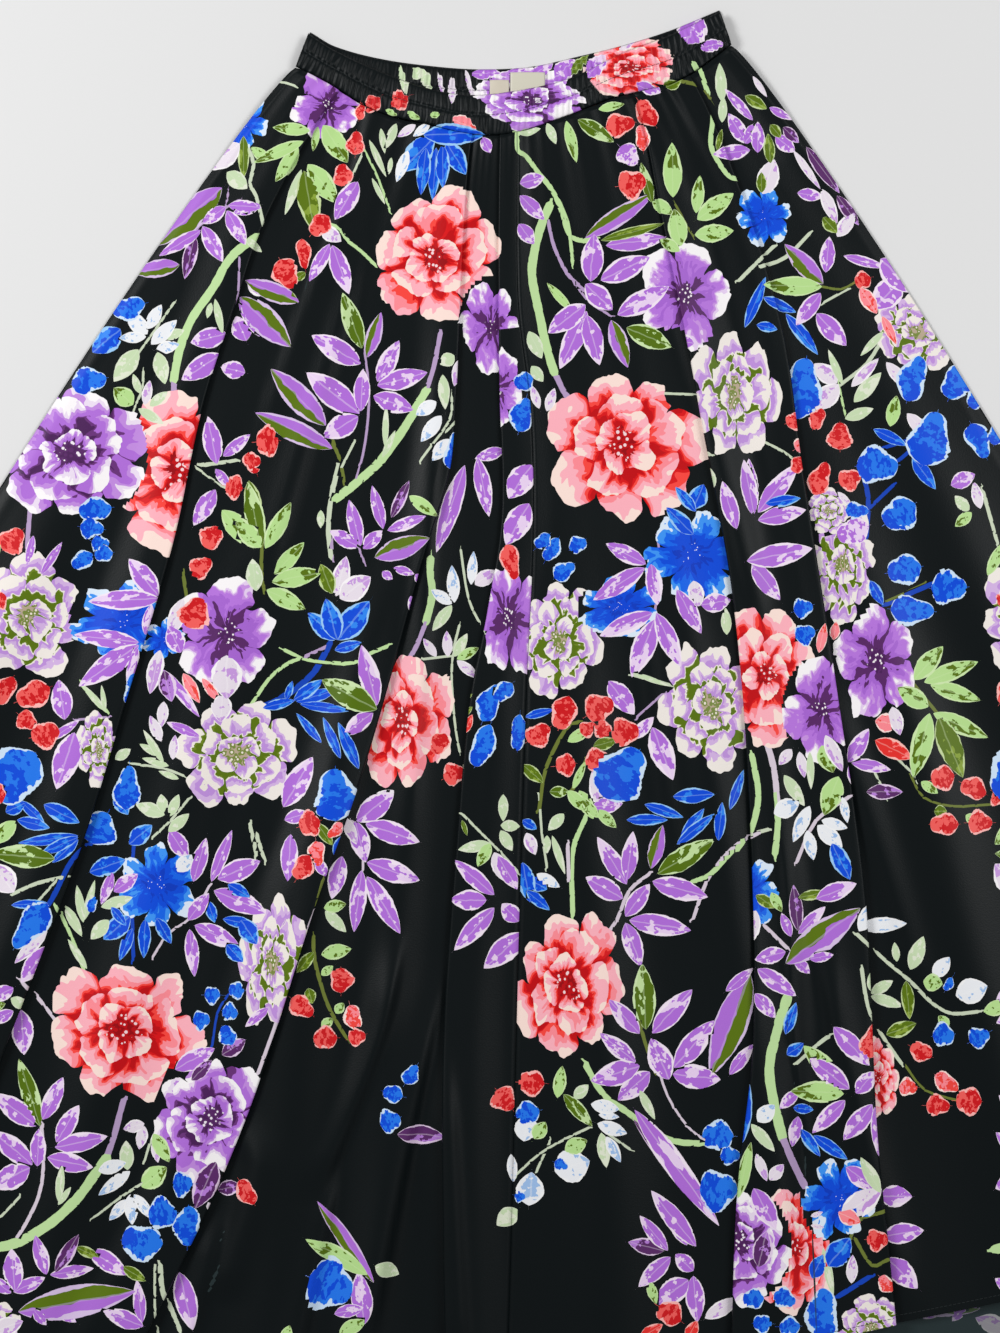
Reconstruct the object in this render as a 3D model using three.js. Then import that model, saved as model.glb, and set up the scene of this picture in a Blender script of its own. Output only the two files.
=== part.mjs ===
// Maxi skirt laid flat with its front up: four flared gores gathered into a ruched elastic
// waist, three deep folds pressed into the front on the left and two on the right, and two
// small labels inside the back of the waist. Millimetres, +Z up, +Y towards the waist.
import * as THREE from 'three';

// Driving dimensions
const CLOTH = 1.2;              // wall of the crepe
const SEAM_GAP = 0.3;           // air between two sewn pieces
const WAIST_GAP = 0.9;          // the same at the waist, where the facets follow a curve
const HIP_SPREAD = 21;          // how far the side seams bow out of a straight line
const HEM_CENTRE = [10, 767];   // centre of the sweep that the hems follow
const HEM_FROM = -32.6;         // degrees from straight down, left side seam
const HEM_TO = 32.2;            // degrees, right side seam
const BACK_HEM_RADIUS = [[0, 1336], [1, 1315]];
const FRONT_HEM_RADIUS = [[0, 1330], [0.25, 1323], [0.5, 1290], [0.7, 1281], [0.78, 1287], [1, 1295]];
const OFFSET = new THREE.Vector2(-0.47, 7.75);   // brings the outline's middle to the origin

// Waistband edges as [x, y], left end to right end
const FRONT_BAND_BOTTOM = [
  [-159, 498], [-136, 486], [-96, 463], [-57, 453], [-20, 445], [10, 446], [50, 459], [90, 474],
  [140, 487], [180, 515],
];
const FRONT_BAND_TOP = [
  [-149, 524], [-129, 511], [-92, 494], [-55, 481], [-23, 476], [16, 480], [54, 489], [98, 510],
  [130, 522], [171, 541],
];
const BACK_BAND_TOP = [
  [-148, 526], [-129, 515], [-92, 505], [-48, 499], [-14, 497], [24, 499], [61, 507], [97, 516],
  [132, 527], [171, 543],
];
const BAND_HEIGHT = 33;
const BACK_WAIST_SPREAD = 1.06;  // the back's gathers stand a little wider than its band
const BAND_THICK = 3.0;         // doubled cloth round the elastic, at a ruche's crest
const BAND_VALLEY = 2.1;        // between two ruches
const BAND_EDGE = 1.4;
const RUCHES = 46;
const FRONT_BAND_Z = 4.9;       // underside of the front band, clear of the label

// Gore seams and folds, each as [t, u]: t from waist (0) to hem (1), u from left side to right
const CENTRE_FRONT = [[0, 0.508], [0.13, 0.508], [0.22, 0.523], [0.32, 0.523], [0.43, 0.515],
  [0.57, 0.509], [0.72, 0.505], [1, 0.5]];
const CENTRE_BACK = [[0, 0.5], [1, 0.5]];
const FOLDS = {
  leftSide: {
    line: [[0, 0.1], [0.11, 0.107], [0.17, 0.122], [0.25, 0.138], [0.36, 0.166], [0.5, 0.179],
      [0.62, 0.185], [1, 0.178]],
    depth: [[0, 3], [0.2, 8], [1, 26]], over: 'left',
  },
  leftMiddle: {
    line: [[0, 0.405], [0.25, 0.43], [0.35, 0.407], [0.52, 0.378], [0.62, 0.359], [0.8, 0.336],
      [1, 0.3]],
    depth: [[0, 3], [0.25, 6], [1, 34]], over: 'left',
  },
  centreStrip: {
    line: [[0, 0.47], [0.2, 0.484], [0.3, 0.49], [0.38, 0.478], [0.45, 0.465], [0.58, 0.459],
      [0.72, 0.457], [0.89, 0.463], [1, 0.468]],
    depth: [[0, 3], [0.2, 5], [0.4, 12], [1, 20]], over: 'right',
  },
  rightMiddle: {
    line: [[0, 0.775], [0.09, 0.745], [0.25, 0.722], [0.4, 0.71], [0.58, 0.685], [0.75, 0.66],
      [0.87, 0.636], [1, 0.62]],
    depth: [[0, 3], [0.2, 8], [1, 30]], over: 'right',
  },
  rightSide: {
    line: [[0, 0.9], [0.2, 0.85], [0.32, 0.81], [0.5, 0.775], [0.65, 0.755], [0.77, 0.735],
      [0.86, 0.722], [1, 0.71]],
    depth: [[0, 3], [0.3, 8], [1, 28]], over: 'left',
  },
};
const SHOULDER = 3;             // how far a fold's top layer runs on past its underlay
const RAMP = 30;                // then it comes down over this much
const STACK = [3.4, 7.4];       // height of a fold's top layer over its lowest, waist and hem

// Soft ridges: [u at the waist, u at the hem, height at the hem, half width at the hem]
const RIDGES = [
  [0.05, 0.07, 9, 38], [0.24, 0.25, 8, 30], [0.33, 0.375, 10, 34], [0.42, 0.42, 7, 22],
  [0.56, 0.56, 9, 34], [0.66, 0.66, 6, 22], [0.85, 0.8, 10, 40], [0.93, 0.91, 9, 42],
];
const WAIST_RISE = [[0, 4.3], [0.035, 3], [0.09, 0]];   // the front climbs to its band
const RIDGE_START = [0.04, 0.9];  // t where the ridges begin, and where they are full
const RIDGE_TAPER = 0.4;        // a ridge's width at the waist, as a part of that at the hem
const FLAT_SIDE = 0.03;         // u over which the ridges die out towards a side seam
const BACK_LIFT = 0.55;         // part of a ridge over BACK_CLEAR that the back also makes
const BACK_CLEAR = 4;

// Faceting: steps from waist to hem, and across; the fronts' are between their folds
const FRONT_ROWS = 17;
const FRONT_LEFT_STEPS = [7, 5, 6, 2];
const FRONT_RIGHT_STEPS = [5, 4, 9];
const BACK_ROWS = 11;
const BACK_STEPS = 13;

// Labels, inside the back band
const LABEL_THICK = 0.8;
const LABEL_BOW = 1.5;
const WOVEN_LABEL = { left: 8, right: 35, top: 494, bottom: 462 };
const CARE_LABEL = { left: -8, right: 7, top: 488, bottom: 458 };

const smooth = (from, to, x) => THREE.MathUtils.smoothstep(x, from, to);

// A smooth curve through [key, value] points, read at one key
function along(list, at) {
  const last = list.length - 1;
  const next = list.findIndex(([key]) => key >= at);
  if (next === 0) return list[0][1];
  if (next < 0) return list[last][1];
  const slope = (i) => {
    const [before, after] = [list[Math.max(i - 1, 0)], list[Math.min(i + 1, last)]];
    return (after[1] - before[1]) / (after[0] - before[0]);
  };
  const [k0, v0] = list[next - 1];
  const [k1, v1] = list[next];
  const span = k1 - k0;
  const s = (at - k0) / span;
  return v0 + (v1 - v0) * s * s * (3 - 2 * s)
    + span * s * (1 - s) * (slope(next - 1) * (1 - s) - slope(next) * s);
}

// An edge of the waist: how far across it a point is, then its place
function edgeCurve(points) {
  const [left, right] = [points[0][0], points[points.length - 1][0]];
  return (u) => {
    const x = THREE.MathUtils.lerp(left, right, u);
    return new THREE.Vector2(x, along(points, x));
  };
}

const frontWaist = edgeCurve(FRONT_BAND_BOTTOM);
const backWaist = edgeCurve(BACK_BAND_TOP.map(([x, y]) => [x * BACK_WAIST_SPREAD, y - BAND_HEIGHT]));

function hemPoint(radii, u) {
  const angle = THREE.MathUtils.degToRad(THREE.MathUtils.lerp(HEM_FROM, HEM_TO, u));
  const radius = along(radii, u);
  return new THREE.Vector2(Math.sin(angle), -Math.cos(angle)).multiplyScalar(radius)
    .add(new THREE.Vector2(...HEM_CENTRE));
}

// A layer of the skirt: where u, t lies on the floor plan, and how wide it is at t
function layer(waist, radii) {
  const place = (u, t) => {
    const top = waist(u);
    top.y -= WAIST_GAP;
    const point = top.lerp(hemPoint(radii, u), t);
    point.x += (2 * u - 1) * HIP_SPREAD * Math.sin(Math.PI * t ** 0.6);
    return point.add(OFFSET);
  };
  const width = (t) => place(0, t).distanceTo(place(1, t));
  return { place, width };
}

const front = layer(frontWaist, FRONT_HEM_RADIUS);
const back = layer(backWaist, BACK_HEM_RADIUS);

function ridge(u, t) {
  const rise = smooth(...RIDGE_START, t);
  const taper = THREE.MathUtils.lerp(RIDGE_TAPER, 1, t);
  return RIDGES.reduce((sum, [top, hem, height, half]) => {
    const away = (u - THREE.MathUtils.lerp(top, hem, t)) * front.width(t);
    return sum + height * rise * Math.exp(-((away / (half * taper)) ** 2));
  }, 0) * smooth(0, FLAT_SIDE, Math.min(u, 1 - u));
}

const stack = (t) => THREE.MathUtils.lerp(STACK[0], STACK[1], t);

function foldLift(fold, u, t) {
  const side = fold.over === 'right' ? 1 : -1;
  const away = side * (u - along(fold.line, t)) * front.width(t);
  if (away < 0) return 0;
  const run = along(fold.depth, t) + SHOULDER;
  return stack(t) * (1 - smooth(run, run + RAMP, away));
}

function frontHeight(u, t, own) {
  const lifts = Object.values(FOLDS).filter((fold) => fold !== own)
    .reduce((sum, fold) => sum + foldLift(fold, u, t), 0);
  return CLOTH + SEAM_GAP + CLOTH / 2 + along(WAIST_RISE, t) + ridge(u, t) + lifts;
}

const backHeight = (u, t) => CLOTH / 2 + BACK_LIFT * Math.max(0, ridge(u, t) - BACK_CLEAR);

// The cloth's middle line through one fold, in the order that it is met from the left
function foldPath(fold, t) {
  const edge = along(fold.line, t);
  const side = (fold.over === 'right' ? 1 : -1) / front.width(t);
  const depth = along(fold.depth, t);
  const path = [[depth, 0], [depth, 0.5], [0, 0.5], [0, 1], [depth + SHOULDER, 1]]
    .map(([away, level]) => {
      const u = edge + side * away;
      return { u, z: frontHeight(u, t, fold) + level * stack(t) };
    });
  return side > 0 ? path : path.reverse();
}

// The middle line of a front gore: folds in order, with plain steps between them
function frontPath(from, to, folds, steps, t) {
  const path = [];
  const plain = (start, end, count) => {
    for (let i = 1; i < count; i += 1) {
      const u = THREE.MathUtils.lerp(start, end, i / count);
      path.push({ u, z: frontHeight(u, t) });
    }
  };
  let last = from;
  path.push({ u: from, z: frontHeight(from, t) });
  folds.forEach((fold, i) => {
    const through = foldPath(fold, t);
    const edge = along(fold.line, t);
    const start = fold.over === 'right' ? edge : through[0].u;
    plain(last, start, steps[i]);
    path.push(...through);
    last = fold.over === 'right' ? through[through.length - 1].u : edge;
  });
  plain(last, to, steps[folds.length]);
  path.push({ u: to, z: frontHeight(to, t) });
  return path;
}

// Both faces of a wall round a middle line, as [upper, lower] points
function wallSection(path, t, sheet) {
  const width = sheet.width(t);
  const flat = path.map(({ u, z }) => new THREE.Vector2(u * width, z));
  return flat.map((point, i) => {
    const end = i === 0 || i === flat.length - 1;
    const before = end ? new THREE.Vector2(1, 0) : point.clone().sub(flat[i - 1]).normalize();
    const after = end ? before.clone() : flat[i + 1].clone().sub(point).normalize();
    const way = before.clone().add(after).normalize();
    const normal = new THREE.Vector2(-way.y, way.x);
    const mitre = CLOTH / 2 / Math.max(0.6, way.dot(before));
    return [1, -1].map((face) => {
      const moved = point.clone().addScaledVector(normal, face * mitre);
      const spot = sheet.place(moved.x / width, t);
      return new THREE.Vector3(spot.x, spot.y, moved.y);
    });
  });
}

// A closed solid from sections, each a list of [upper, lower] pairs
function wallSolid(sections) {
  const count = sections[0].length;
  const positions = sections.flatMap((pairs) => pairs.flatMap((pair) => pair.flatMap((p) => p.toArray())));
  const at = (row, i, face) => (row * count + i) * 2 + face;
  const index = [];
  const quad = (a, b, c, d) => index.push(a, b, c, a, c, d);
  const last = sections.length - 1;
  for (let row = 0; row < last; row += 1) {
    for (let i = 0; i < count - 1; i += 1) {
      quad(at(row, i, 0), at(row + 1, i, 0), at(row + 1, i + 1, 0), at(row, i + 1, 0));
      quad(at(row, i, 1), at(row, i + 1, 1), at(row + 1, i + 1, 1), at(row + 1, i, 1));
    }
    quad(at(row, 0, 0), at(row, 0, 1), at(row + 1, 0, 1), at(row + 1, 0, 0));
    quad(at(row, count - 1, 0), at(row + 1, count - 1, 0), at(row + 1, count - 1, 1), at(row, count - 1, 1));
  }
  for (let i = 0; i < count - 1; i += 1) {
    quad(at(0, i, 0), at(0, i + 1, 0), at(0, i + 1, 1), at(0, i, 1));
    quad(at(last, i, 0), at(last, i, 1), at(last, i + 1, 1), at(last, i + 1, 0));
  }
  const geometry = new THREE.BufferGeometry();
  geometry.setAttribute('position', new THREE.Float32BufferAttribute(positions, 3));
  geometry.setIndex(index);
  return geometry;
}

const steps = (count) => Array.from({ length: count + 1 }, (_, i) => i / count);

function frontGore(from, to, folds, counts) {
  return wallSolid(steps(FRONT_ROWS).map((t) => {
    const path = frontPath(from(t), to(t), folds, counts, t);
    return wallSection(path, t, front);
  }));
}

function backGore(from, to) {
  return wallSolid(steps(BACK_ROWS).map((t) => steps(BACK_STEPS).map((part) => {
    const u = THREE.MathUtils.lerp(from(t), to(t), part);
    const spot = back.place(u, t);
    const height = backHeight(u, t);
    return [1, -1].map((face) => new THREE.Vector3(spot.x, spot.y, height + face * CLOTH / 2));
  })));
}

// A ruched casing between its top and bottom edges, flat below
function ruchedBand(topEdge, bottomEdge, floor) {
  const profile = [[0, BAND_EDGE, 0], [0.2, 0, 1], [0.8, 0, 1], [1, BAND_EDGE, 0]];
  return wallSolid(profile.map(([down, edge, full]) => steps(2 * RUCHES).map((u, i) => {
    const spot = topEdge(u).lerp(bottomEdge(u), down).add(OFFSET);
    const puff = i % 2 ? BAND_VALLEY : BAND_THICK;
    return [floor + edge + full * puff, floor]
      .map((z) => new THREE.Vector3(spot.x, spot.y, z));
  })));
}

// A label laid on the inside of the back band
function label({ left, right, top, bottom }) {
  const floor = BAND_THICK + SEAM_GAP;
  return wallSolid(steps(2).map((down) => steps(6).map((part) => {
    const x = THREE.MathUtils.lerp(left, right, part);
    const y = THREE.MathUtils.lerp(top, bottom, down) + LABEL_BOW * Math.sin(Math.PI * part);
    return [floor + LABEL_THICK, floor].map((z) => new THREE.Vector3(x + OFFSET.x, y + OFFSET.y, z));
  })));
}

const skirt = new THREE.Group();
const crepe = { color: 0x0d1517, roughness: 0.72, metalness: 0 };
const satin = { color: 0xd8d0b4, roughness: 0.5, metalness: 0 };

function add(name, geometry, look) {
  const mesh = new THREE.Mesh(geometry, new THREE.MeshStandardMaterial(look));
  mesh.name = name;
  skirt.add(mesh);
}

const halfGap = (t) => SEAM_GAP / 2 / front.width(t);
add('front_left', frontGore(() => 0, (t) => along(CENTRE_FRONT, t) - halfGap(t),
  [FOLDS.leftSide, FOLDS.leftMiddle, FOLDS.centreStrip], FRONT_LEFT_STEPS), crepe);
add('front_right', frontGore((t) => along(CENTRE_FRONT, t) + halfGap(t), () => 1,
  [FOLDS.rightMiddle, FOLDS.rightSide], FRONT_RIGHT_STEPS), crepe);
add('back_left', backGore(() => 0, (t) => along(CENTRE_BACK, t) - halfGap(t)), crepe);
add('back_right', backGore((t) => along(CENTRE_BACK, t) + halfGap(t), () => 1), crepe);
add('waistband_front', ruchedBand(edgeCurve(FRONT_BAND_TOP), frontWaist, FRONT_BAND_Z), crepe);
add('waistband_back', ruchedBand(edgeCurve(BACK_BAND_TOP), backWaist, 0), crepe);
add('woven_label', label(WOVEN_LABEL), satin);
add('care_label', label(CARE_LABEL), satin);

export default skirt;
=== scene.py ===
"""Builds a gathered, flower-printed maxi skirt, laid flat with its front up, round its CAD frame."""

import functools
import math

import bpy
import numpy as np
from bpy.props import FloatProperty, FloatVectorProperty, PointerProperty
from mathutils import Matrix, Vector


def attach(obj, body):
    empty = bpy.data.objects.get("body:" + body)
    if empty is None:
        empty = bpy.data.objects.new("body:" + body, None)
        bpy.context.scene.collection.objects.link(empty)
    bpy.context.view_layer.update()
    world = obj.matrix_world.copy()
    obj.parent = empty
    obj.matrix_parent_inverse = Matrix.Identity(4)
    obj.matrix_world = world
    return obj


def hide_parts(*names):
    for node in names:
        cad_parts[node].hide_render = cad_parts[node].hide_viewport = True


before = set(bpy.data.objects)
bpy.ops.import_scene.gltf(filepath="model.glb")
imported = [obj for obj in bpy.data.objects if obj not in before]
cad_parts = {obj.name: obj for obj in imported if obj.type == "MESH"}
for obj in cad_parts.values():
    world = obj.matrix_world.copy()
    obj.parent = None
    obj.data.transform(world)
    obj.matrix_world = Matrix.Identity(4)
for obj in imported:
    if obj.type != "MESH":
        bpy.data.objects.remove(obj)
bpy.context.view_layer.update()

bl_info = {
    "name": "Flower-print maxi skirt",
    "version": (1, 0, 0),
    "blender": (4, 5, 0),
    "location": "3D View > Sidebar > Maxi skirt",
    "description": "Builds a gathered flower-print maxi skirt, laid flat, round its CAD frame",
    "category": "Object",
}

# ---------------------------------------------------------------------------------------------
# The cut and the lie of the cloth, in millimetres. u runs from the left side seam (0) to the
# right one (1), t from the waist (0) to the hem (1). These repeat the CAD model's own sizes.
MM = 0.001
OFFSET = (-0.47, 7.75)
CAD_CLOTH = 1.2
SEAM_GAP = 0.3
WAIST_GAP = 0.9
HIP_SPREAD = 21.0
HEM_CENTRE = (10.0, 767.0)
HEM_ANGLES = (-32.6, 32.2)
BACK_HEM_RADIUS = ((0, 1336), (1, 1315))
FRONT_HEM_RADIUS = ((0, 1330), (0.25, 1323), (0.5, 1290), (0.7, 1281), (0.78, 1287), (1, 1295))
FRONT_BAND_BOTTOM = (
    (-159, 498), (-136, 486), (-96, 463), (-57, 453), (-20, 445),
    (10, 446), (50, 459), (90, 474), (140, 487), (180, 515),
)
FRONT_BAND_TOP = (
    (-149, 524), (-129, 511), (-92, 494), (-55, 481), (-23, 476),
    (16, 480), (54, 489), (98, 510), (130, 522), (171, 541),
)
BACK_BAND_TOP = (
    (-148, 526), (-129, 515), (-92, 505), (-48, 499), (-14, 497),
    (24, 499), (61, 507), (97, 516), (132, 527), (171, 543),
)
BAND_HEIGHT = 33.0
# The back's gathers stand a little wider than its casing's top edge
BACK_WAIST_SPREAD = 1.06
BACK_BAND_BOTTOM = [(x * BACK_WAIST_SPREAD, y - BAND_HEIGHT) for x, y in BACK_BAND_TOP]
FRONT_BAND_FLOOR = 4.9
CENTRE_FRONT = (
    (0, 0.508), (0.13, 0.508), (0.22, 0.523), (0.32, 0.523),
    (0.43, 0.515), (0.57, 0.509), (0.72, 0.505), (1, 0.5),
)
# Each fold: its edge as (t, u), how deep the cloth doubles under it, and the side that lies on top
LEFT_SIDE_FOLD = {
    "line": ((0, 0.1), (0.11, 0.107), (0.17, 0.122), (0.25, 0.138), (0.36, 0.166), (0.5, 0.179),
             (0.62, 0.185), (1, 0.178)),
    "depth": ((0, 3), (0.2, 8), (1, 26)), "over": -1,
}
LEFT_MIDDLE_FOLD = {
    "line": ((0, 0.405), (0.25, 0.43), (0.35, 0.407), (0.52, 0.378), (0.62, 0.359), (0.8, 0.336),
             (1, 0.3)),
    "depth": ((0, 3), (0.25, 6), (1, 34)), "over": -1,
}
CENTRE_STRIP_FOLD = {
    "line": ((0, 0.47), (0.2, 0.484), (0.3, 0.49), (0.38, 0.478), (0.45, 0.465), (0.58, 0.459),
             (0.72, 0.457), (0.89, 0.463), (1, 0.468)),
    "depth": ((0, 3), (0.2, 5), (0.4, 12), (1, 20)), "over": 1,
}
RIGHT_MIDDLE_FOLD = {
    "line": ((0, 0.775), (0.09, 0.745), (0.25, 0.722), (0.4, 0.71), (0.58, 0.685), (0.75, 0.66),
             (0.87, 0.636), (1, 0.62)),
    "depth": ((0, 3), (0.2, 8), (1, 30)), "over": 1,
}
RIGHT_SIDE_FOLD = {
    "line": ((0, 0.9), (0.2, 0.85), (0.32, 0.81), (0.5, 0.775), (0.65, 0.755), (0.77, 0.735),
             (0.86, 0.722), (1, 0.71)),
    "depth": ((0, 3), (0.3, 8), (1, 28)), "over": -1,
}
LEFT_FOLDS = (LEFT_SIDE_FOLD, LEFT_MIDDLE_FOLD, CENTRE_STRIP_FOLD)
RIGHT_FOLDS = (RIGHT_MIDDLE_FOLD, RIGHT_SIDE_FOLD)
SHOULDER = 3.0
RAMP = 30.0
STACK = (3.4, 7.4)
# Soft ridges: u at the waist, u at the hem, height and half width at the hem
RIDGES = (
    (0.05, 0.07, 9, 38), (0.24, 0.25, 8, 30), (0.33, 0.375, 10, 34), (0.42, 0.42, 7, 22),
    (0.56, 0.56, 9, 34), (0.66, 0.66, 6, 22), (0.85, 0.8, 10, 40), (0.93, 0.91, 9, 42),
)
WAIST_RISE = ((0, 4.3), (0.035, 3), (0.09, 0))
BACK_LIFT = 0.55
# Short shallow folds: the line as (t, u), where along it the step comes up, and its height
STEP_FOLDS = (
    (((0, 0.165), (0.05, 0.191), (0.19, 0.199), (0.22, 0.2), (1, 0.2)), (0.3, 0.2), 2.0),
    (((0, 0.71), (0.6, 0.699), (0.75, 0.682), (0.87, 0.677), (1, 0.667)), (0.55, 0.65), 3.0),
)
# Creases pushed up in the slack cloth: places as (y, x) from low to high, height, and half
# widths to the left and to the right
CREASES = (
    (((-380, -146), (-367, -141), (-247, -94), (-174, -78), (-160, -76)), 6.0, (16, 5)),
    (((-520, -112), (-455, -99), (-299, -68), (-195, -47), (-180, -45)), 7.0, (18, 6)),
    (((-520, -28), (-480, -31), (-273, -42), (-240, -45)), 4.5, (14, 6)),
    (((-460, -218), (-434, -213), (-351, -190), (-314, -198), (-300, -200)), 5.0, (10, 15)),
    (((-520, -165), (-480, -156), (-361, -130), (-340, -127)), 5.5, (14, 5)),
    (((-520, -262), (-470, -240), (-400, -222), (-380, -220)), 5.0, (12, 6)),
    (((-240, 335), (-120, 300), (0, 262), (60, 245)), 4.0, (8, 16)),
    (((-480, 320), (-300, 275), (-150, 242), (-120, 238)), 4.0, (7, 14)),
    (((60, 205), (200, 170), (330, 136), (400, 122)), 3.0, (7, 12)),
    (((90, -188), (220, -150), (330, -118), (400, -104)), 3.0, (12, 6)),
    (((-110, -72), (40, -62), (180, -54), (330, -44)), 2.5, (12, 6)),
    (((-180, 150), (-60, 128), (60, 112), (160, 100)), 2.5, (7, 12)),
)
# Above this the folds are too shallow to break the print
SHALLOW_ABOVE = 302.0
LEFT_COLUMNS, RIGHT_COLUMNS = (60, 34, 56, 9), (42, 22, 105)
WALL = 0.8
CLOTH_ROWS = 301
BACK_ROWS = 161
BACK_COLUMNS = 121
# t where the ridges begin and are full, their width at the waist as a part of that at the hem,
# and the u over which they die out towards a side seam
RIDGE_START = (0.04, 0.9)
RIDGE_TAPER = 0.4
FLAT_SIDE = 0.03
# Height of a ridge before the back takes part in it, and of the front's edge at its side seams
BACK_CLEAR = 4
SEAM_HEIGHT = 1.35


def along(points, at):
    """A smooth curve through (key, value) points, read at each key in at."""
    keys, values = np.array(points, float).T
    ends = np.arange(len(keys))
    before, after = np.maximum(ends - 1, 0), np.minimum(ends + 1, len(keys) - 1)
    slopes = (values[after] - values[before]) / (keys[after] - keys[before])
    at = np.clip(at, keys[0], keys[-1])
    i = np.clip(np.searchsorted(keys, at) - 1, 0, len(keys) - 2)
    span = keys[i + 1] - keys[i]
    s = (at - keys[i]) / span
    rise = (values[i + 1] - values[i]) * s * s * (3 - 2 * s)
    return values[i] + rise + span * s * (1 - s) * (slopes[i] * (1 - s) - slopes[i + 1] * s)


def smooth(low, high, x):
    s = np.clip((x - low) / (high - low), 0, 1)
    return s * s * (3 - 2 * s)


def edge(points, u):
    """Where a waist edge is, as x and y."""
    x = points[0][0] + (points[-1][0] - points[0][0]) * u
    return x, along(points, x)


def place(u, t, back=False):
    """Where u, t of the front or the back lies on the floor plan."""
    if back:
        waist, radii = BACK_BAND_BOTTOM, BACK_HEM_RADIUS
    else:
        waist, radii = FRONT_BAND_BOTTOM, FRONT_HEM_RADIUS
    top_x, top_y = edge(waist, u)
    angle = np.radians(HEM_ANGLES[0] + (HEM_ANGLES[1] - HEM_ANGLES[0]) * u)
    radius = along(radii, u)
    hem_x, hem_y = HEM_CENTRE[0] + radius * np.sin(angle), HEM_CENTRE[1] - radius * np.cos(angle)
    spread = (2 * u - 1) * HIP_SPREAD * np.sin(math.pi * t**0.6)
    x = top_x + (hem_x - top_x) * t + spread
    y = top_y - WAIST_GAP + (hem_y - top_y + WAIST_GAP) * t
    return x + OFFSET[0], y + OFFSET[1]


@functools.lru_cache(maxsize=4096)
def width(t):
    (x0, y0), (x1, y1) = place(0.0, t), place(1.0, t)
    return math.hypot(x1 - x0, y1 - y0)


def ridge(u, t):
    total = 0.0
    for top, hem, height, half in RIDGES:
        away = (u - (top + (hem - top) * t)) * width(t)
        total = total + height * np.exp(-((away / (half * (RIDGE_TAPER + (1 - RIDGE_TAPER) * t))) ** 2))
    return total * smooth(*RIDGE_START, t) * smooth(0, FLAT_SIDE, np.minimum(u, 1 - u))


def stack(t):
    return STACK[0] + (STACK[1] - STACK[0]) * t


def fold_lift(fold, u, t):
    away = fold["over"] * (u - along(fold["line"], t)) * width(t)
    run = along(fold["depth"], t) + SHOULDER
    return np.where(away < 0, 0, stack(t) * (1 - smooth(run, run + RAMP, away)))


class Wander:
    """Smooth seeded noise over u and t, from 0 to 1."""

    def __init__(self, seed, across, down):
        self.grid = np.random.default_rng(seed).random((down + 3, across + 3))
        self.across, self.down = across, down

    def at(self, u, t):
        x, y = np.clip(u, 0, 1) * self.across, np.clip(t, 0, 1) * self.down
        i, j = np.floor(x).astype(int), np.floor(y).astype(int)
        fx, fy = smooth(0, 1, x - i), smooth(0, 1, y - j)
        grid = self.grid
        top = grid[j, i] * (1 - fx) + grid[j, i + 1] * fx
        low = grid[j + 1, i] * (1 - fx) + grid[j + 1, i + 1] * fx
        return top * (1 - fy) + low * fy


FINE_GATHERS, WIDE_GATHERS = Wander(3, 64, 3), Wander(5, 30, 3)
SOFT_CREASES, SLACK = Wander(11, 30, 4), Wander(13, 15, 6)


def hand(u, t):
    """The small creases: gathers held by the waist seam, and slack cloth lower down."""
    down = 1000 * t
    inside = smooth(0, 0.015, np.minimum(u, 1 - u))
    fine = 2.2 * np.exp(-down / 40) * FINE_GATHERS.at(u, t)
    wide = 3.4 * np.exp(-down / 150) * WIDE_GATHERS.at(u, t)
    soft = 3.2 * smooth(0.1, 0.7, t) * SOFT_CREASES.at(u, t) ** 1.5
    slack = 3.0 * smooth(0.15, 0.6, t) * SLACK.at(u, t)
    return inside * (fine + wide + soft + slack)


def front_height(u, t, own=None):
    lifts = sum(fold_lift(f, u, t) for f in LEFT_FOLDS + RIGHT_FOLDS if f is not own)
    side = smooth(0, 0.012, np.minimum(u, 1 - u))
    base = SEAM_HEIGHT + (CAD_CLOTH * 1.5 + SEAM_GAP - SEAM_HEIGHT) * side + along(WAIST_RISE, t)
    return base + ridge(u, t) + hand(u, t) + lifts


def back_height(u, t):
    return BACK_LIFT * np.maximum(0, ridge(u, t) - BACK_CLEAR)


def fold_path(fold, t):
    """The cloth's middle line through a fold, from left to right, as u, height and strip side."""
    line, depth, high = along(fold["line"], t), along(fold["depth"], t), stack(t)
    turn = high / 4
    arc = np.linspace(-math.pi / 2, math.pi / 2, 7)
    under = depth - turn
    away = np.concatenate([
        np.linspace(0, under, 7)[:-1], under + turn * np.cos(arc), np.linspace(under, turn, 5)[1:-1],
        turn - turn * np.cos(arc), np.linspace(turn, depth + SHOULDER, 8)[1:],
    ])
    level = np.concatenate([
        np.zeros(6), turn + turn * np.sin(arc), np.full(3, 2 * turn),
        3 * turn + turn * np.sin(arc), np.full(7, 4 * turn),
    ])
    upper = np.concatenate([np.zeros(16), np.ones(14)])
    u = line + fold["over"] * away / width(t)
    z = front_height(u, t, fold) + level
    if fold["over"] < 0:
        return u[::-1], z[::-1], 1 - upper[::-1]
    return u, z, upper


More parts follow.
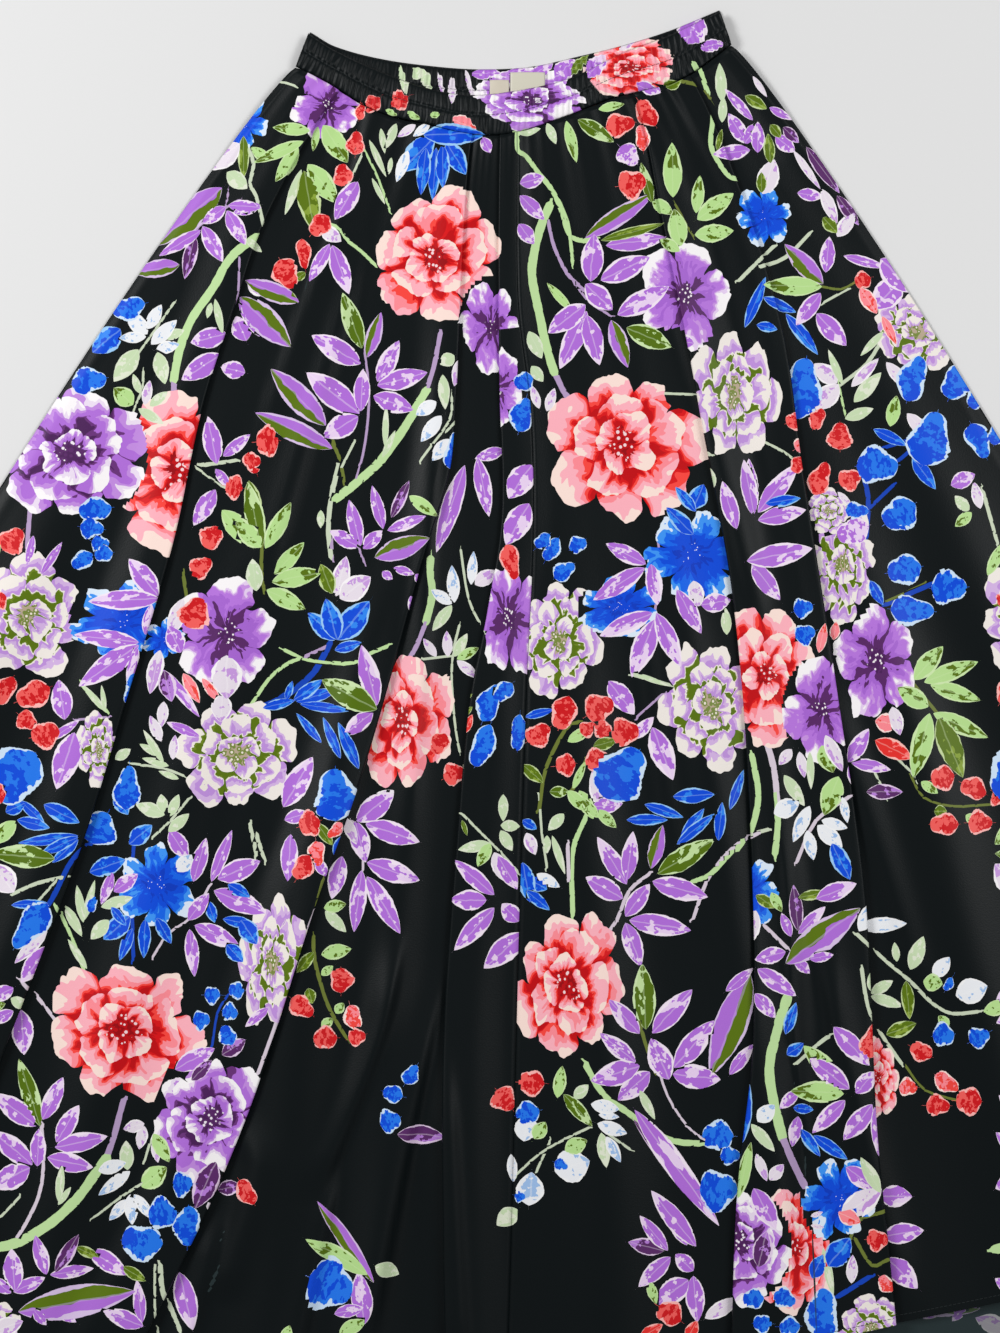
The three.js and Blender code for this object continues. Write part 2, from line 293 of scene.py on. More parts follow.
def front_path(start, end, folds, counts, t, first):
    """Middle line of a front gore at t: u, height and strip number, with plain cloth between folds."""
    parts, strip, last = [], first, start
    for fold, count in zip(folds, counts):
        u, z, side = fold_path(fold, t)
        inside = strip > first
        plain = last + (u[0] - last) * (np.arange(count) + inside) / (count + inside)
        parts += [(plain, front_height(plain, t), np.full(count, strip)), (u, z, strip + side)]
        strip, last = strip + 1, u[-1]
    plain = last + (end - last) * np.arange(1, counts[-1] + 1) / counts[-1]
    parts.append((plain, front_height(plain, t), np.full(counts[-1], strip)))
    return [np.concatenate(column) for column in zip(*parts)]


# ---------------------------------------------------------------------------------------------
# Meshes


def add_mesh(name, points, faces):
    mesh = bpy.data.meshes.new(name)
    mesh.from_pydata((np.asarray(points) * MM).tolist(), [], faces)
    mesh.shade_smooth()
    piece = bpy.data.objects.new(name, mesh)
    bpy.context.collection.objects.link(piece)
    return piece


def sheet_shell(name, middle, wall, flip=False):
    """A closed thin shell on a grid of points: a fine face, and a second one half as fine."""
    along_t, along_u = np.gradient(middle, axis=0), np.gradient(middle, axis=1)
    normal = np.cross(along_t, along_u)
    normal /= np.linalg.norm(normal, axis=2, keepdims=True)
    side = -1 if flip else 1
    fine = middle + side * normal * wall / 2
    plain = (middle - side * normal * wall / 2)[::2, ::2]
    rows, columns = fine.shape[:2]
    at = np.arange(rows * columns).reshape(rows, columns)
    low = rows * columns + np.arange(plain.shape[0] * plain.shape[1]).reshape(plain.shape[:2])

    def quads(grid, turned):
        corners = [grid[:-1, :-1], grid[1:, :-1], grid[1:, 1:], grid[:-1, 1:]]
        if turned:
            corners = corners[::-1]
        return np.stack(corners, axis=-1).reshape(-1, 4).tolist()

    faces = quads(at, flip) + quads(low, not flip)
    fine_count = (rows - 1) * (columns - 1)
    borders = (
        (at[0, ::-1], low[0, ::-1]), (at[:, 0], low[:, 0]),
        (at[-1], low[-1]), (at[::-1, -1], low[::-1, -1]),
    )
    for upper, lower in borders:
        for i in range(len(lower) - 1):
            a, b, c = (int(n) for n in upper[2 * i : 2 * i + 3])
            d, e = int(lower[i]), int(lower[i + 1])
            rim = [(a, d, b), (b, d, e), (b, e, c)]
            faces += [f[::-1] for f in rim] if flip else rim
    points = np.concatenate([fine.reshape(-1, 3), plain.reshape(-1, 3)])
    return add_mesh(name, points, faces), fine_count


def cloth_rows(count):
    """Steps from waist to hem: even, with a few more at the stitched hem."""
    hem = 1 - np.array([0.6, 6.5, 7.5, 8.5]) / 1300
    return np.unique(np.concatenate([np.linspace(0, 1, count - 4), hem]))


def step_lift(u, t):
    """Short folds too shallow to double the cloth, as low steps."""
    total = 0.0
    for line, (start, full), height in STEP_FOLDS:
        over = (u - along(line, t)) * width(t)
        total = total + height * smooth(start, full, t) * smooth(0, 5, over) * (1 - smooth(5, 30, over))
    return total


def crease_lift(x, y):
    """The creases, each rising and dying away along its own line."""
    total = 0.0
    for line, height, (left, right) in CREASES:
        low, high = line[0][0], line[-1][0]
        away = x - along(line, y)
        fade = smooth(low, low + 0.2 * (high - low), y) * (1 - smooth(high - 0.3 * (high - low), high, y))
        total = total + height * fade * np.exp(-((away / np.where(away < 0, left, right)) ** 2))
    return total


def front_grid(side, rows):
    """Middle surface of a front gore, and the strip number of each of its points."""
    points, strips = [], []
    for t in rows:
        t = float(t)
        seam = along(CENTRE_FRONT, t) + side * SEAM_GAP / 2 / width(t)
        if side < 0:
            u, z, strip = front_path(0.0, seam, LEFT_FOLDS, LEFT_COLUMNS, t, 0)
        else:
            u, z, strip = front_path(seam, 1.0, RIGHT_FOLDS, RIGHT_COLUMNS, t, 3)
        x, y = place(u, t)
        points.append(np.stack([x, y, z + step_lift(u, t) + crease_lift(x, y)], axis=-1))
        strips.append(strip)
    return np.array(points), np.array(strips, float)


def back_grid(side, rows, columns):
    """Middle surface of a back gore, its right side down on the floor."""
    points = []
    for t in rows:
        seam = 0.5 + side * SEAM_GAP / 2 / width(t)
        u = np.linspace(0, seam, columns) if side < 0 else np.linspace(seam, 1, columns)
        x, y = place(u, float(t), back=True)
        points.append(np.stack([x, y, WALL / 2 + back_height(u, float(t))], axis=-1))
    points = np.array(points)
    return points, np.zeros(points.shape[:2])


# ---------------------------------------------------------------------------------------------
# Nodes


def node(tree, kind, inputs=(), **settings):
    """Adds a node; each input is a socket to link or a value to set."""
    made = tree.nodes.new(kind)
    for name, value in settings.items():
        setattr(made, name, value)
    for key, value in dict(inputs).items():
        if isinstance(value, bpy.types.NodeSocket):
            tree.links.new(value, made.inputs[key])
        else:
            made.inputs[key].default_value = value
    return made


def maths(tree, known, lines):
    """Math nodes from lines of 'result OPERATION input input', kept by name in known."""
    for line in lines.strip().splitlines():
        name, operation, *values = line.split()
        inputs = {i: known[v] if v in known else float(v) for i, v in enumerate(values)}
        known[name] = node(tree, "ShaderNodeMath", inputs, operation=operation).outputs[0]


def linear(code):
    """A colour written as sRGB hex, in linear light."""
    parts = [int(code[i : i + 2], 16) / 255 for i in (0, 2, 4)]
    return [c / 12.92 if c <= 0.04045 else ((c + 0.055) / 1.055) ** 2.4 for c in parts] + [1.0]


def ramp(tree, fac, stops, steps=True):
    """A colour ramp with (position, hex colour) stops."""
    made = node(tree, "ShaderNodeValToRGB", {"Fac": fac})
    made.color_ramp.interpolation = "CONSTANT" if steps else "LINEAR"
    elements = made.color_ramp.elements
    while len(elements) < len(stops):
        elements.new(0.5)
    for element, (position, code) in zip(elements, stops):
        element.position, element.color = position, linear(code)
    return made.outputs["Color"]


def group(name, inputs, outputs):
    """A node group with named sockets, as its tree, its inputs by name, and its output node."""
    tree = bpy.data.node_groups.new(name, "ShaderNodeTree")
    for way, sockets in (("INPUT", inputs), ("OUTPUT", outputs)):
        for label, kind in sockets:
            tree.interface.new_socket(label, in_out=way, socket_type=kind)
    start, end = node(tree, "NodeGroupInput"), node(tree, "NodeGroupOutput")
    return tree, start.outputs, end


FLOAT, VECTOR, COLOUR = "NodeSocketFloat", "NodeSocketVector", "NodeSocketColor"


def petal_ring():
    """A ring of petals: where it covers, and how far up its petal each point lies."""
    tree, given, end = group(
        "petal ring",
        [(n, FLOAT) for n in ("Angle", "Radius", "Streak", "Count", "Reach", "Point", "Seed", "Slope")],
        [("Mask", FLOAT), ("Tone", FLOAT)],
    )
    known = {name.lower(): given[name] for name in given.keys() if name}
    maths(tree, known, """
        turned MULTIPLY_ADD seed 2.9 angle
        wound MULTIPLY turned count
        turns DIVIDE wound 6.2832
        petal FLOOR turns
        part SUBTRACT turns petal
        across MULTIPLY_ADD part 2 -1
        away ABSOLUTE across
        swing MULTIPLY_ADD petal 1.73 seed
        luck0 SINE swing
        luck MULTIPLY_ADD luck0 0.09 0.95
        side POWER away 3
        taper MULTIPLY side point
        shape SUBTRACT luck taper
        ruffle MULTIPLY_ADD streak 0.22 -0.11
        ruffled ADD shape ruffle
        edge MULTIPLY ruffled reach
        up DIVIDE radius edge
        mask LESS_THAN up 1
        below SUBTRACT up 1
        steep MULTIPLY_ADD below slope 0.92
        gap POWER away 4
        shaded MULTIPLY_ADD gap -0.7 steep
        tone MULTIPLY_ADD streak 1.7 shaded
        even SUBTRACT tone 0.8
    """)
    tree.links.new(known["mask"], end.inputs["Mask"])
    tree.links.new(known["even"], end.inputs["Tone"])
    return tree


def painted_petal():
    """A brushed leaf, petal or bud from its own lengthways and crossways places and its style."""
    tree, given, end = group(
        "painted petal", [("Place", VECTOR), ("Taper", FLOAT)], [("Color", COLOUR), ("Mask", FLOAT)]
    )
    split = node(tree, "ShaderNodeSeparateXYZ", {0: given["Place"]})
    known = {"a": split.outputs[0], "b": split.outputs[1], "style": split.outputs[2],
             "taper": given["Taper"]}
    maths(tree, known, """
        index FLOOR style
        seed SUBTRACT style index
        depth MULTIPLY seed 57
        pick MULTIPLY_ADD index 0.0625 0.03
    """)
    maths(tree, known, """
        bud LESS_THAN taper 0.6
        zoom MULTIPLY_ADD bud 0.6 1
        long MULTIPLY a 1.8
        down MULTIPLY long zoom
        wide MULTIPLY b zoom
    """)
    at = node(tree, "ShaderNodeCombineXYZ", {0: known["down"], 1: known["wide"], 2: known["depth"]})
    broad = node(tree, "ShaderNodeTexNoise", {"Vector": at.outputs[0], "Scale": 1.0, "Detail": 2.5})
    fine = node(tree, "ShaderNodeTexNoise", {"Vector": at.outputs[0], "Scale": 2.4, "Detail": 2.0})
    known.update(broad=broad.outputs["Fac"], fine=fine.outputs["Fac"])
    maths(tree, known, """
        square MULTIPLY a a
        left SUBTRACT 1 square
        inside MAXIMUM left 0.0001
        curve POWER inside taper
        lean MULTIPLY_ADD a -0.16 1
        profile MULTIPLY curve lean
        out ABSOLUTE b
        reach DIVIDE out profile
        edge MULTIPLY_ADD fine 0.2 reach
        angle ARCTAN2 b a
        swing MULTIPLY_ADD seed 9 angle
        swings MULTIPLY swing 3
        lobes SINE swings
        lobe MULTIPLY lobes bud
        lobed MULTIPLY_ADD lobe 0.17 edge
        rough SUBTRACT lobed 0.1
        mask LESS_THAN rough 1
        far MULTIPLY_ADD broad 0.9 rough
        rim GREATER_THAN far 1.27
        half0 MULTIPLY_ADD b 0.5 0.5
        half MULTIPLY_ADD broad 0.5 half0
        patch0 MULTIPLY_ADD fine 0.5 broad
        patch MULTIPLY_ADD a 0.12 patch0
        halved GREATER_THAN half 0.76
        busy MULTIPLY_ADD bud -0.1 0.83
        patched GREATER_THAN patch busy
        vein0 MULTIPLY_ADD broad 0.3 b
        vein1 SUBTRACT vein0 0.15
        vein2 ABSOLUTE vein1
        thin LESS_THAN vein2 0.06
        leaf SUBTRACT 1 bud
        vein MULTIPLY thin leaf
    """)
    base, second, rims = (
        ramp(tree, known["pick"], [(i * 0.0625, style[column]) for i, style in enumerate(STYLES)])
        for column in range(3)
    )
    kinds = ramp(tree, known["pick"], [(i * 0.0625, style[3]) for i, style in enumerate(STYLES)])
    known["kind"] = kinds
    spots = node(tree, "ShaderNodeMix", {0: kinds, 2: known["patched"], 3: known["halved"]}).outputs[0]
    body = node(tree, "ShaderNodeMix", {0: spots, 6: base, 7: second}, data_type="RGBA").outputs[2]
    veined = node(tree, "ShaderNodeMix", {0: known["vein"], 6: body, 7: rims}, data_type="RGBA")
    veined.inputs[0].default_value = 0
    tree.links.new(node(tree, "ShaderNodeMath", {0: known["vein"], 1: 0.3}, operation="MULTIPLY").outputs[0],
                   veined.inputs[0])
    final = node(tree, "ShaderNodeMix", {0: known["rim"], 6: veined.outputs[2], 7: rims}, data_type="RGBA")
    tree.links.new(final.outputs[2], end.inputs["Color"])
    tree.links.new(known["mask"], end.inputs["Mask"])
    return tree


def bloom_layer(tree, kind):
    """The colour and the cover of one kind of open flower, in its own round places."""
    rings, point, stops, heart = BLOOM_KINDS[kind]
    place_in = node(tree, "ShaderNodeAttribute", attribute_name="bloom").outputs["Vector"]
    split = node(tree, "ShaderNodeSeparateXYZ", {0: place_in})
    known = {"a": split.outputs[0], "b": split.outputs[1], "style": split.outputs[2]}
    maths(tree, known, "depth MULTIPLY style 31")
    at = node(tree, "ShaderNodeCombineXYZ", {0: known["a"], 1: known["b"], 2: known["depth"]})
    warp = node(tree, "ShaderNodeTexNoise", {"Vector": at.outputs[0], "Scale": 2.2, "Detail": 1.5})
    shift = node(tree, "ShaderNodeSeparateColor", {0: warp.outputs["Color"]})
    known.update(wx=shift.outputs[0], wy=shift.outputs[1])
    maths(tree, known, """
        a0 MULTIPLY_ADD wx 0.36 -0.18
        a1 ADD a a0
        b0 MULTIPLY_ADD wy 0.36 -0.18
        b1 ADD b b0
        angle ARCTAN2 b1 a1
        aa MULTIPLY a1 a1
        rr MULTIPLY_ADD b1 b1 aa
        radius SQRT rr
        fine MULTIPLY angle 2.2
        slow MULTIPLY radius 1.6
    """)
    fan = node(tree, "ShaderNodeCombineXYZ", {0: known["fine"], 1: known["slow"], 2: known["depth"]})
    streak = node(tree, "ShaderNodeTexNoise", {"Vector": fan.outputs[0], "Scale": 1.6, "Detail": 2.0})
    tone, mask = None, None
    for number, (count, reach, slope) in enumerate(rings):
        known["seed"] = node(tree, "ShaderNodeMath", {0: known["style"], 1: number * 1.37},
                             operation="ADD").outputs[0]
        ring = node(tree, "ShaderNodeGroup", node_tree=bpy.data.node_groups["petal ring"])
        for name, value in (("Angle", known["angle"]), ("Radius", known["radius"]),
                            ("Streak", streak.outputs["Fac"]), ("Count", count), ("Reach", reach),
                            ("Point", point), ("Seed", known["seed"]), ("Slope", slope)):
            if isinstance(value, bpy.types.NodeSocket):
                tree.links.new(value, ring.inputs[name])
            else:
                ring.inputs[name].default_value = value
        if tone is None:
            tone, mask = ring.outputs["Tone"], ring.outputs["Mask"]
        else:
            tone = node(tree, "ShaderNodeMix", {0: ring.outputs["Mask"], 2: tone,
                                                3: ring.outputs["Tone"]}).outputs[0]
    colour = ramp(tree, tone, stops)
    speck = node(tree, "ShaderNodeTexVoronoi", {"Vector": at.outputs[0], "Scale": 13.0})
    spots = ramp(tree, speck.outputs["Distance"], heart)
    known["wide"] = streak.outputs["Fac"]
    maths(tree, known, """
        core0 MULTIPLY_ADD wide 0.3 radius
        core LESS_THAN core0 0.34
    """)
    colour = node(tree, "ShaderNodeMix", {0: known["core"], 6: colour, 7: spots}, data_type="RGBA").outputs[2]
    return colour, mask


def print_material(name, ground, kind=None, faded=False):
    """Printed viscose crepe: brushed flowers on a near-black ground."""
    material = bpy.data.materials.new(name)
    material.use_nodes = True
    tree = material.node_tree
    shader = tree.nodes["Principled BSDF"]
    colour = node(tree, "ShaderNodeRGB").outputs[0]
    colour.default_value = [*ground, 1]

    stem = node(tree, "ShaderNodeAttribute", attribute_name="stem").outputs["Vector"]
    split = node(tree, "ShaderNodeSeparateXYZ", {0: stem})
    known = {"a": split.outputs[0], "b": split.outputs[1], "style": split.outputs[2]}
    grain = node(tree, "ShaderNodeTexNoise", {"Vector": stem, "Scale": 0.35, "Detail": 2.0})
    known["grain"] = grain.outputs["Fac"]
    maths(tree, known, """
        out ABSOLUTE b
        edge MULTIPLY_ADD grain 0.5 out
        mask LESS_THAN edge 1.2
        pick MULTIPLY_ADD style 0.16667 0.06
    """)
    paint = ramp(tree, known["pick"], STEM_COLOURS)
    colour = node(tree, "ShaderNodeMix", {0: known["mask"], 6: colour, 7: paint}, data_type="RGBA").outputs[2]
    if kind:
        paint, mask = bloom_layer(tree, kind)
        colour = node(tree, "ShaderNodeMix", {0: mask, 6: colour, 7: paint}, data_type="RGBA").outputs[2]
    for layer, taper in (("leaf_a", 0.85), ("leaf_b", 0.85), ("bud", 0.5)):
        at = node(tree, "ShaderNodeAttribute", attribute_name=layer).outputs["Vector"]
        drawn = node(tree, "ShaderNodeGroup", node_tree=bpy.data.node_groups["painted petal"])
        tree.links.new(at, drawn.inputs["Place"])
        drawn.inputs["Taper"].default_value = taper
        layers = {0: drawn.outputs["Mask"], 6: colour, 7: drawn.outputs["Color"]}
        colour = node(tree, "ShaderNodeMix", layers, data_type="RGBA").outputs[2]
    if faded:
        layers = {0: 0.72, 6: colour, 7: linear("2E3B3D")}
        colour = node(tree, "ShaderNodeMix", layers, data_type="RGBA").outputs[2]
    tree.links.new(colour, shader.inputs["Base Color"])
    shader.inputs["Roughness"].default_value = 0.42
    shader.inputs["Specular IOR Level"].default_value = 0.13
    shader.inputs["Sheen Weight"].default_value = 0.01
    shader.inputs["Sheen Roughness"].default_value = 0.6
    where = node(tree, "ShaderNodeTexCoord").outputs["Object"]
    crepe = node(tree, "ShaderNodeTexNoise", {"Vector": where, "Scale": 900.0, "Detail": 1.0})
    grain = {"Strength": 0.25, "Distance": 0.0003, "Height": crepe.outputs["Fac"]}
    bump = node(tree, "ShaderNodeBump", grain)
    tree.links.new(bump.outputs[0], shader.inputs["Normal"])
    return material


# ---------------------------------------------------------------------------------------------
# Laying the print


def read_chart(text):
    """Chart entries as (style, number, number, ...)."""
    entries = [entry.split() for entry in text.replace("\n", "|").split("|") if entry.strip()]
    return [(style, *(float(n) for n in numbers)) for style, *numbers in entries]


def curve_through(numbers):
    """A smooth line through x, y pairs, in three short steps to each span."""
    points = np.array(numbers).reshape(-1, 2)
    keys = np.arange(len(points))
    at = np.linspace(0, keys[-1], 3 * keys[-1] + 1)
    return np.stack([along(np.stack([keys, points[:, i]], axis=1), at) for i in (0, 1)], axis=1)


def motif_frame(entry):
    """Centre, unit direction and half sizes of a leaf or bud drawn from its base to its tip."""
    _, x0, y0, x1, y1, wide = entry
    length = math.hypot(x1 - x0, y1 - y0)
    return ((x0 + x1) / 2, (y0 + y1) / 2), ((x1 - x0) / length, (y1 - y0) / length), (length / 2, wide / 2)


def bloom_frame(entry):
    _, x, y, half_x, half_y = entry[:5]
    return (x, y), (1.0, 0.0), (half_x, half_y)


class Canvas:
    """A piece's faces as seen from above, ready to take motifs on the strip each belongs to."""

    def __init__(self, piece, strips):
        mesh = piece.data
        self.mesh = mesh
        self.corner = np.empty(len(mesh.loops), int)
        mesh.loops.foreach_get("vertex_index", self.corner)
        self.total = np.empty(len(mesh.polygons), int)
        mesh.polygons.foreach_get("loop_total", self.total)
        flat = np.empty(len(mesh.vertices) * 3)
        mesh.vertices.foreach_get("co", flat)
        self.points = flat.reshape(-1, 3) / MM
        self.face = np.repeat(np.arange(len(self.total)), self.total)
        self.start = np.cumsum(self.total) - self.total
        self.xy = self.points[self.corner, :2]
        self.x, self.y = (np.bincount(self.face, self.xy[:, i]) / self.total for i in (0, 1))
        self.centre = np.stack([self.x, self.y], axis=1)
        self.height = np.bincount(self.face, self.points[self.corner, 2]) / self.total
        self.strip = np.round(np.bincount(self.face, strips[self.corner]) / self.total).astype(int)

    def near(self, spot, reach):
        """Which faces lie within reach of a spot, both ways."""
        x, y = spot
        if x + reach < self.x.min() or x - reach > self.x.max():
            return np.zeros(0, int)
        band = np.nonzero(np.abs(self.y - y) < reach)[0]
        return band[np.abs(self.x[band] - x) < reach]

    def strip_under(self, x, y):
        """The strip on top at x, y, or None off the piece."""
        near = self.near((x, y), 4.5)
        return self.strip[near[np.argmax(self.height[near])]] if len(near) else None

    def corners_of(self, faces):
        picked = np.zeros(len(self.total), bool)
        picked[faces] = True
        return np.nonzero(picked[self.face])[0]

    def draw(self, layer, entries, frame_of, taper, styles, margin, moves):
        """Gives each face of the layer its nearest motif's own coordinates, and returns its kind."""
        local = np.tile((0.0, 9.0, 0.0), (len(self.face), 1))
        best, kinds = np.full(len(self.total), 99.0), np.full(len(self.total), -1)
        for shift_x, shift_y, mirror in moves:
            for number, entry in enumerate(entries):
                centre, way, half = frame_of(entry)
                home = centre[0] + (entry[6] if len(entry) > 6 else 0), centre[1]
                if mirror:
                    centre, way, home = (-centre[0], centre[1]), (-way[0], way[1]), (-home[0], home[1])
                centre = centre[0] + shift_x, centre[1] + shift_y
                reach = max(half) + 6
                near = self.near(centre, reach)
                if not len(near):
                    continue
                strip = self.strip_under(home[0] + shift_x, home[1] + shift_y)
                if strip is None:
                    continue
                picked = near[(self.strip[near] == strip) | (self.y[near] > SHALLOW_ABOVE)]
                a, b = self.measure(self.centre[picked], centre, way, half)
                if taper:
                    side = np.maximum(1 - a * a, 0) ** taper
                    gap = np.where(np.abs(a) < 1, (np.abs(b) - side) * half[1],
                                   np.hypot((np.abs(a) - 1) * half[0], b * half[1]))
                else:
                    gap = (np.hypot(a, b) - 1.08) * min(half)
                keep = (gap < margin) & ((gap < 0) | (gap < best[picked]))
                picked, gap = picked[keep], gap[keep]
                best[picked] = gap
                kinds[picked] = styles[entry[0]]
                corners = self.corners_of(picked)
                a, b = self.measure(self.xy[corners], centre, way, half)
                seed = (number * 0.381966) % 0.9 + 0.05
                local[corners] = np.stack([a, b, np.full(len(a), styles[entry[0]] + seed)], axis=1)
        self.store(layer, local)
        return kinds

    @staticmethod
    def measure(xy, centre, way, half):
        d = xy - centre
        return (d @ np.array(way)) / half[0], (d @ np.array((-way[1], way[0]))) / half[1]

    def draw_stems(self, entries, moves):
        """Gives each face its nearest stem: how far along it, how far off it, and its colour."""
        local = np.tile((0.0, 9.0, 0.0), (len(self.face), 1))
        best = np.full(len(self.total), 99.0)
        for shift_x, shift_y, mirror in moves:
            for entry in entries:
                wide, line = entry[1], curve_through(entry[2:])
                if mirror:
                    line = line * (-1, 1)
                line = line + (shift_x, shift_y)
                middle = (line[:-1] + line[1:]) / 2
                run = 0.0
                for start, end, half_way in zip(line[:-1], line[1:], middle):
                    length = float(np.hypot(*(end - start)))
                    way = (end - start) / length
                    run += length
                    strip = self.strip_under(*half_way)
                    if strip is None:
                        continue
                    near = self.near(half_way, length / 2 + wide + 3)
                    picked = near[self.strip[near] == strip]
                    d = self.centre[picked] - start
                    down = np.clip(d @ way, 0, length)
                    gap = np.hypot(*(d - down[:, None] * way).T) - wide / 2
                    keep = (gap < 2.8) & (gap < best[picked])
                    picked, gap = picked[keep], gap[keep]
                    best[picked] = gap
                    corners = self.corners_of(picked)
                    d = self.xy[corners] - start
                    down = np.clip(d @ way, 0, length)
                    off = np.hypot(*(d - down[:, None] * way).T) / (wide / 2)
                    side = np.sign(d @ np.array((-way[1], way[0])))
                    kind = np.full(len(off), STEM_STYLES[entry[0]])
                    local[corners] = np.stack([(run + down) / 4, off * side, kind], axis=1)
        self.store("stem", local)

    def store(self, layer, local):
        attribute = self.mesh.attributes.new(layer, "FLOAT_VECTOR", "CORNER")
        attribute.data.foreach_set("vector", local.astype(np.float32).ravel())

    def print(self, moves, wrong_from=None):
        """Draws every layer, and gives each face the material of the flower on it."""
        self.draw_stems(read_chart(STEMS), moves)
        leaves, buds = read_chart(LEAVES), read_chart(BUDS)
        styles = {style[4]: i for i, style in enumerate(STYLES)}
        self.draw("leaf_a", leaves[::2], motif_frame, 0.85, styles, 2.5, moves)
        self.draw("leaf_b", leaves[1::2], motif_frame, 0.85, styles, 2.5, moves)
        self.draw("bud", buds, motif_frame, 0.5, styles, 2.5, moves)
        order = {kind: i for i, kind in enumerate(BLOOM_KINDS)}
        kinds = self.draw("bloom", read_chart(BLOOMS), bloom_frame, 0, order, 3.0, moves)
        slots = kinds + 1
        if wrong_from is not None:
            slots[wrong_from:] = len(BLOOM_KINDS) + 1
        self.mesh.polygons.foreach_set("material_index", slots.astype(np.int32))


def cloth_materials(piece):
    names = ["plain", *BLOOM_KINDS, "wrong side"]
    piece.data.materials.clear()
    for name in names:
        piece.data.materials.append(bpy.data.materials[f"crepe {name}"])


# ---------------------------------------------------------------------------------------------
# Tables of the print

# Petal and leaf styles: ground, patches, rim, patch kind (black by spots, white by halves), letter
STYLES = (
    ("B26FDA", "EBD3F2", "F4E6F4", "000000", "V"), ("E9DFEA", "C99BDF", "FAF6F8", "000000", "W"),
    ("B8DE90", "5A7310", "CFE8AE", "000000", "G"), ("C9DDB4", "E2E8D2", "DDE6CC", "000000", "S"),
    ("5C7512", "8AA23A", "C7D9A0", "000000", "O"), ("55700F", "C4DFA0", "CFE6B0", "000000", "R"),
    ("B06FD8", "5C7512", "D9C3E6", "FFFFFF", "L"), ("5C2C68", "B87FD8", "E6D0EA", "000000", "P"),
    ("0A4CDA", "2E86F0", "9CCBF5", "000000", "B"), ("EEF0F4", "9FC0EA", "F6F6F6", "000000", "T"),
    ("FF8C95", "F2463F", "FFE3DC", "000000", "C"), ("E8322E", "FF7C78", "FFC0B8", "000000", "K"),
    ("0A4CDA", "2478EC", "CFE4F8", "000000", "D"), ("F4605C", "D0181E", "FFB9B4", "000000", "Q"),
)
STEM_COLOURS = [
    (0, "BFDFA0"), (0.16, "B69CC4"), (0.33, "6E7A34"),
    (0.5, "1244B8"), (0.67, "CBD6BC"), (0.83, "D9CCD9"),
]
STEM_STYLES = {"G": 0, "V": 1, "O": 2, "B": 3, "S": 4, "W": 5, "P": 1}
# Open flowers: rings as (petals, reach, how fast the colour runs up a petal), how pointed the
# petals are, colours from the root of a petal to its rim, and those of the speckled heart
BLOOM_KINDS = {
    "C": (
        ((7, 1.06, 1.9), (5, 0.76, 1.6), (4, 0.42, 1.2)), 0.2,
        [(0, "C20A12"), (0.15, "DC1418"), (0.27, "FB4840"), (0.38, "FF8E98"),
         (0.55, "FFB3BF"), (0.8, "FDE2D8")],
        [(0, "F7D9DC"), (0.3, "C00C14"), (0.6, "9A0610")],
    ),
    "V": (
        ((7, 1.06, 2.0), (5, 0.76, 1.7), (4, 0.42, 1.2)), 0.2,
        [(0, "4C2158"), (0.08, "6A3479"), (0.2, "B06FD8"), (0.5, "C28CDF"),
         (0.68, "EBDDF0"), (0.82, "FAF6F8")],
        [(0, "F4ECF4"), (0.3, "5A2A66"), (0.6, "4C2158")],
    ),
    "Y": (
        ((7, 1.06, 2.1), (6, 0.74, 1.8), (4, 0.4, 1.2)), 0.24,
        [(0, "5A7310"), (0.16, "6E8420"), (0.22, "EFE9DE"), (0.3, "C092DC"),
         (0.5, "D5B4E4"), (0.66, "F2EBE4")],
        [(0, "F0E6D8"), (0.3, "7A8A40"), (0.6, "B9A890")],
    ),
    "A": (
        ((5, 1.08, 1.15),), 0.3,
        [(0, "5A2A66"), (0.14, "A867D2"), (0.4, "B877DE"), (0.66, "C994E2"),
         (0.76, "E6CFF0"), (0.86, "FAF6F8")],
        [(0, "F8F2F4"), (0.3, "5A2A66"), (0.55, "4C2158")],
    ),
    "B": (
        ((6, 1.08, 1.1),), 0.42,
        [(0, "0A3CC0"), (0.04, "0A4CDA"), (0.45, "1566EA"), (0.66, "3F95F4"), (0.84, "DDEBFA")],
        [(0, "F2F8FF"), (0.16, "0A46D6"), (0.6, "0A46D6")],
    ),
}

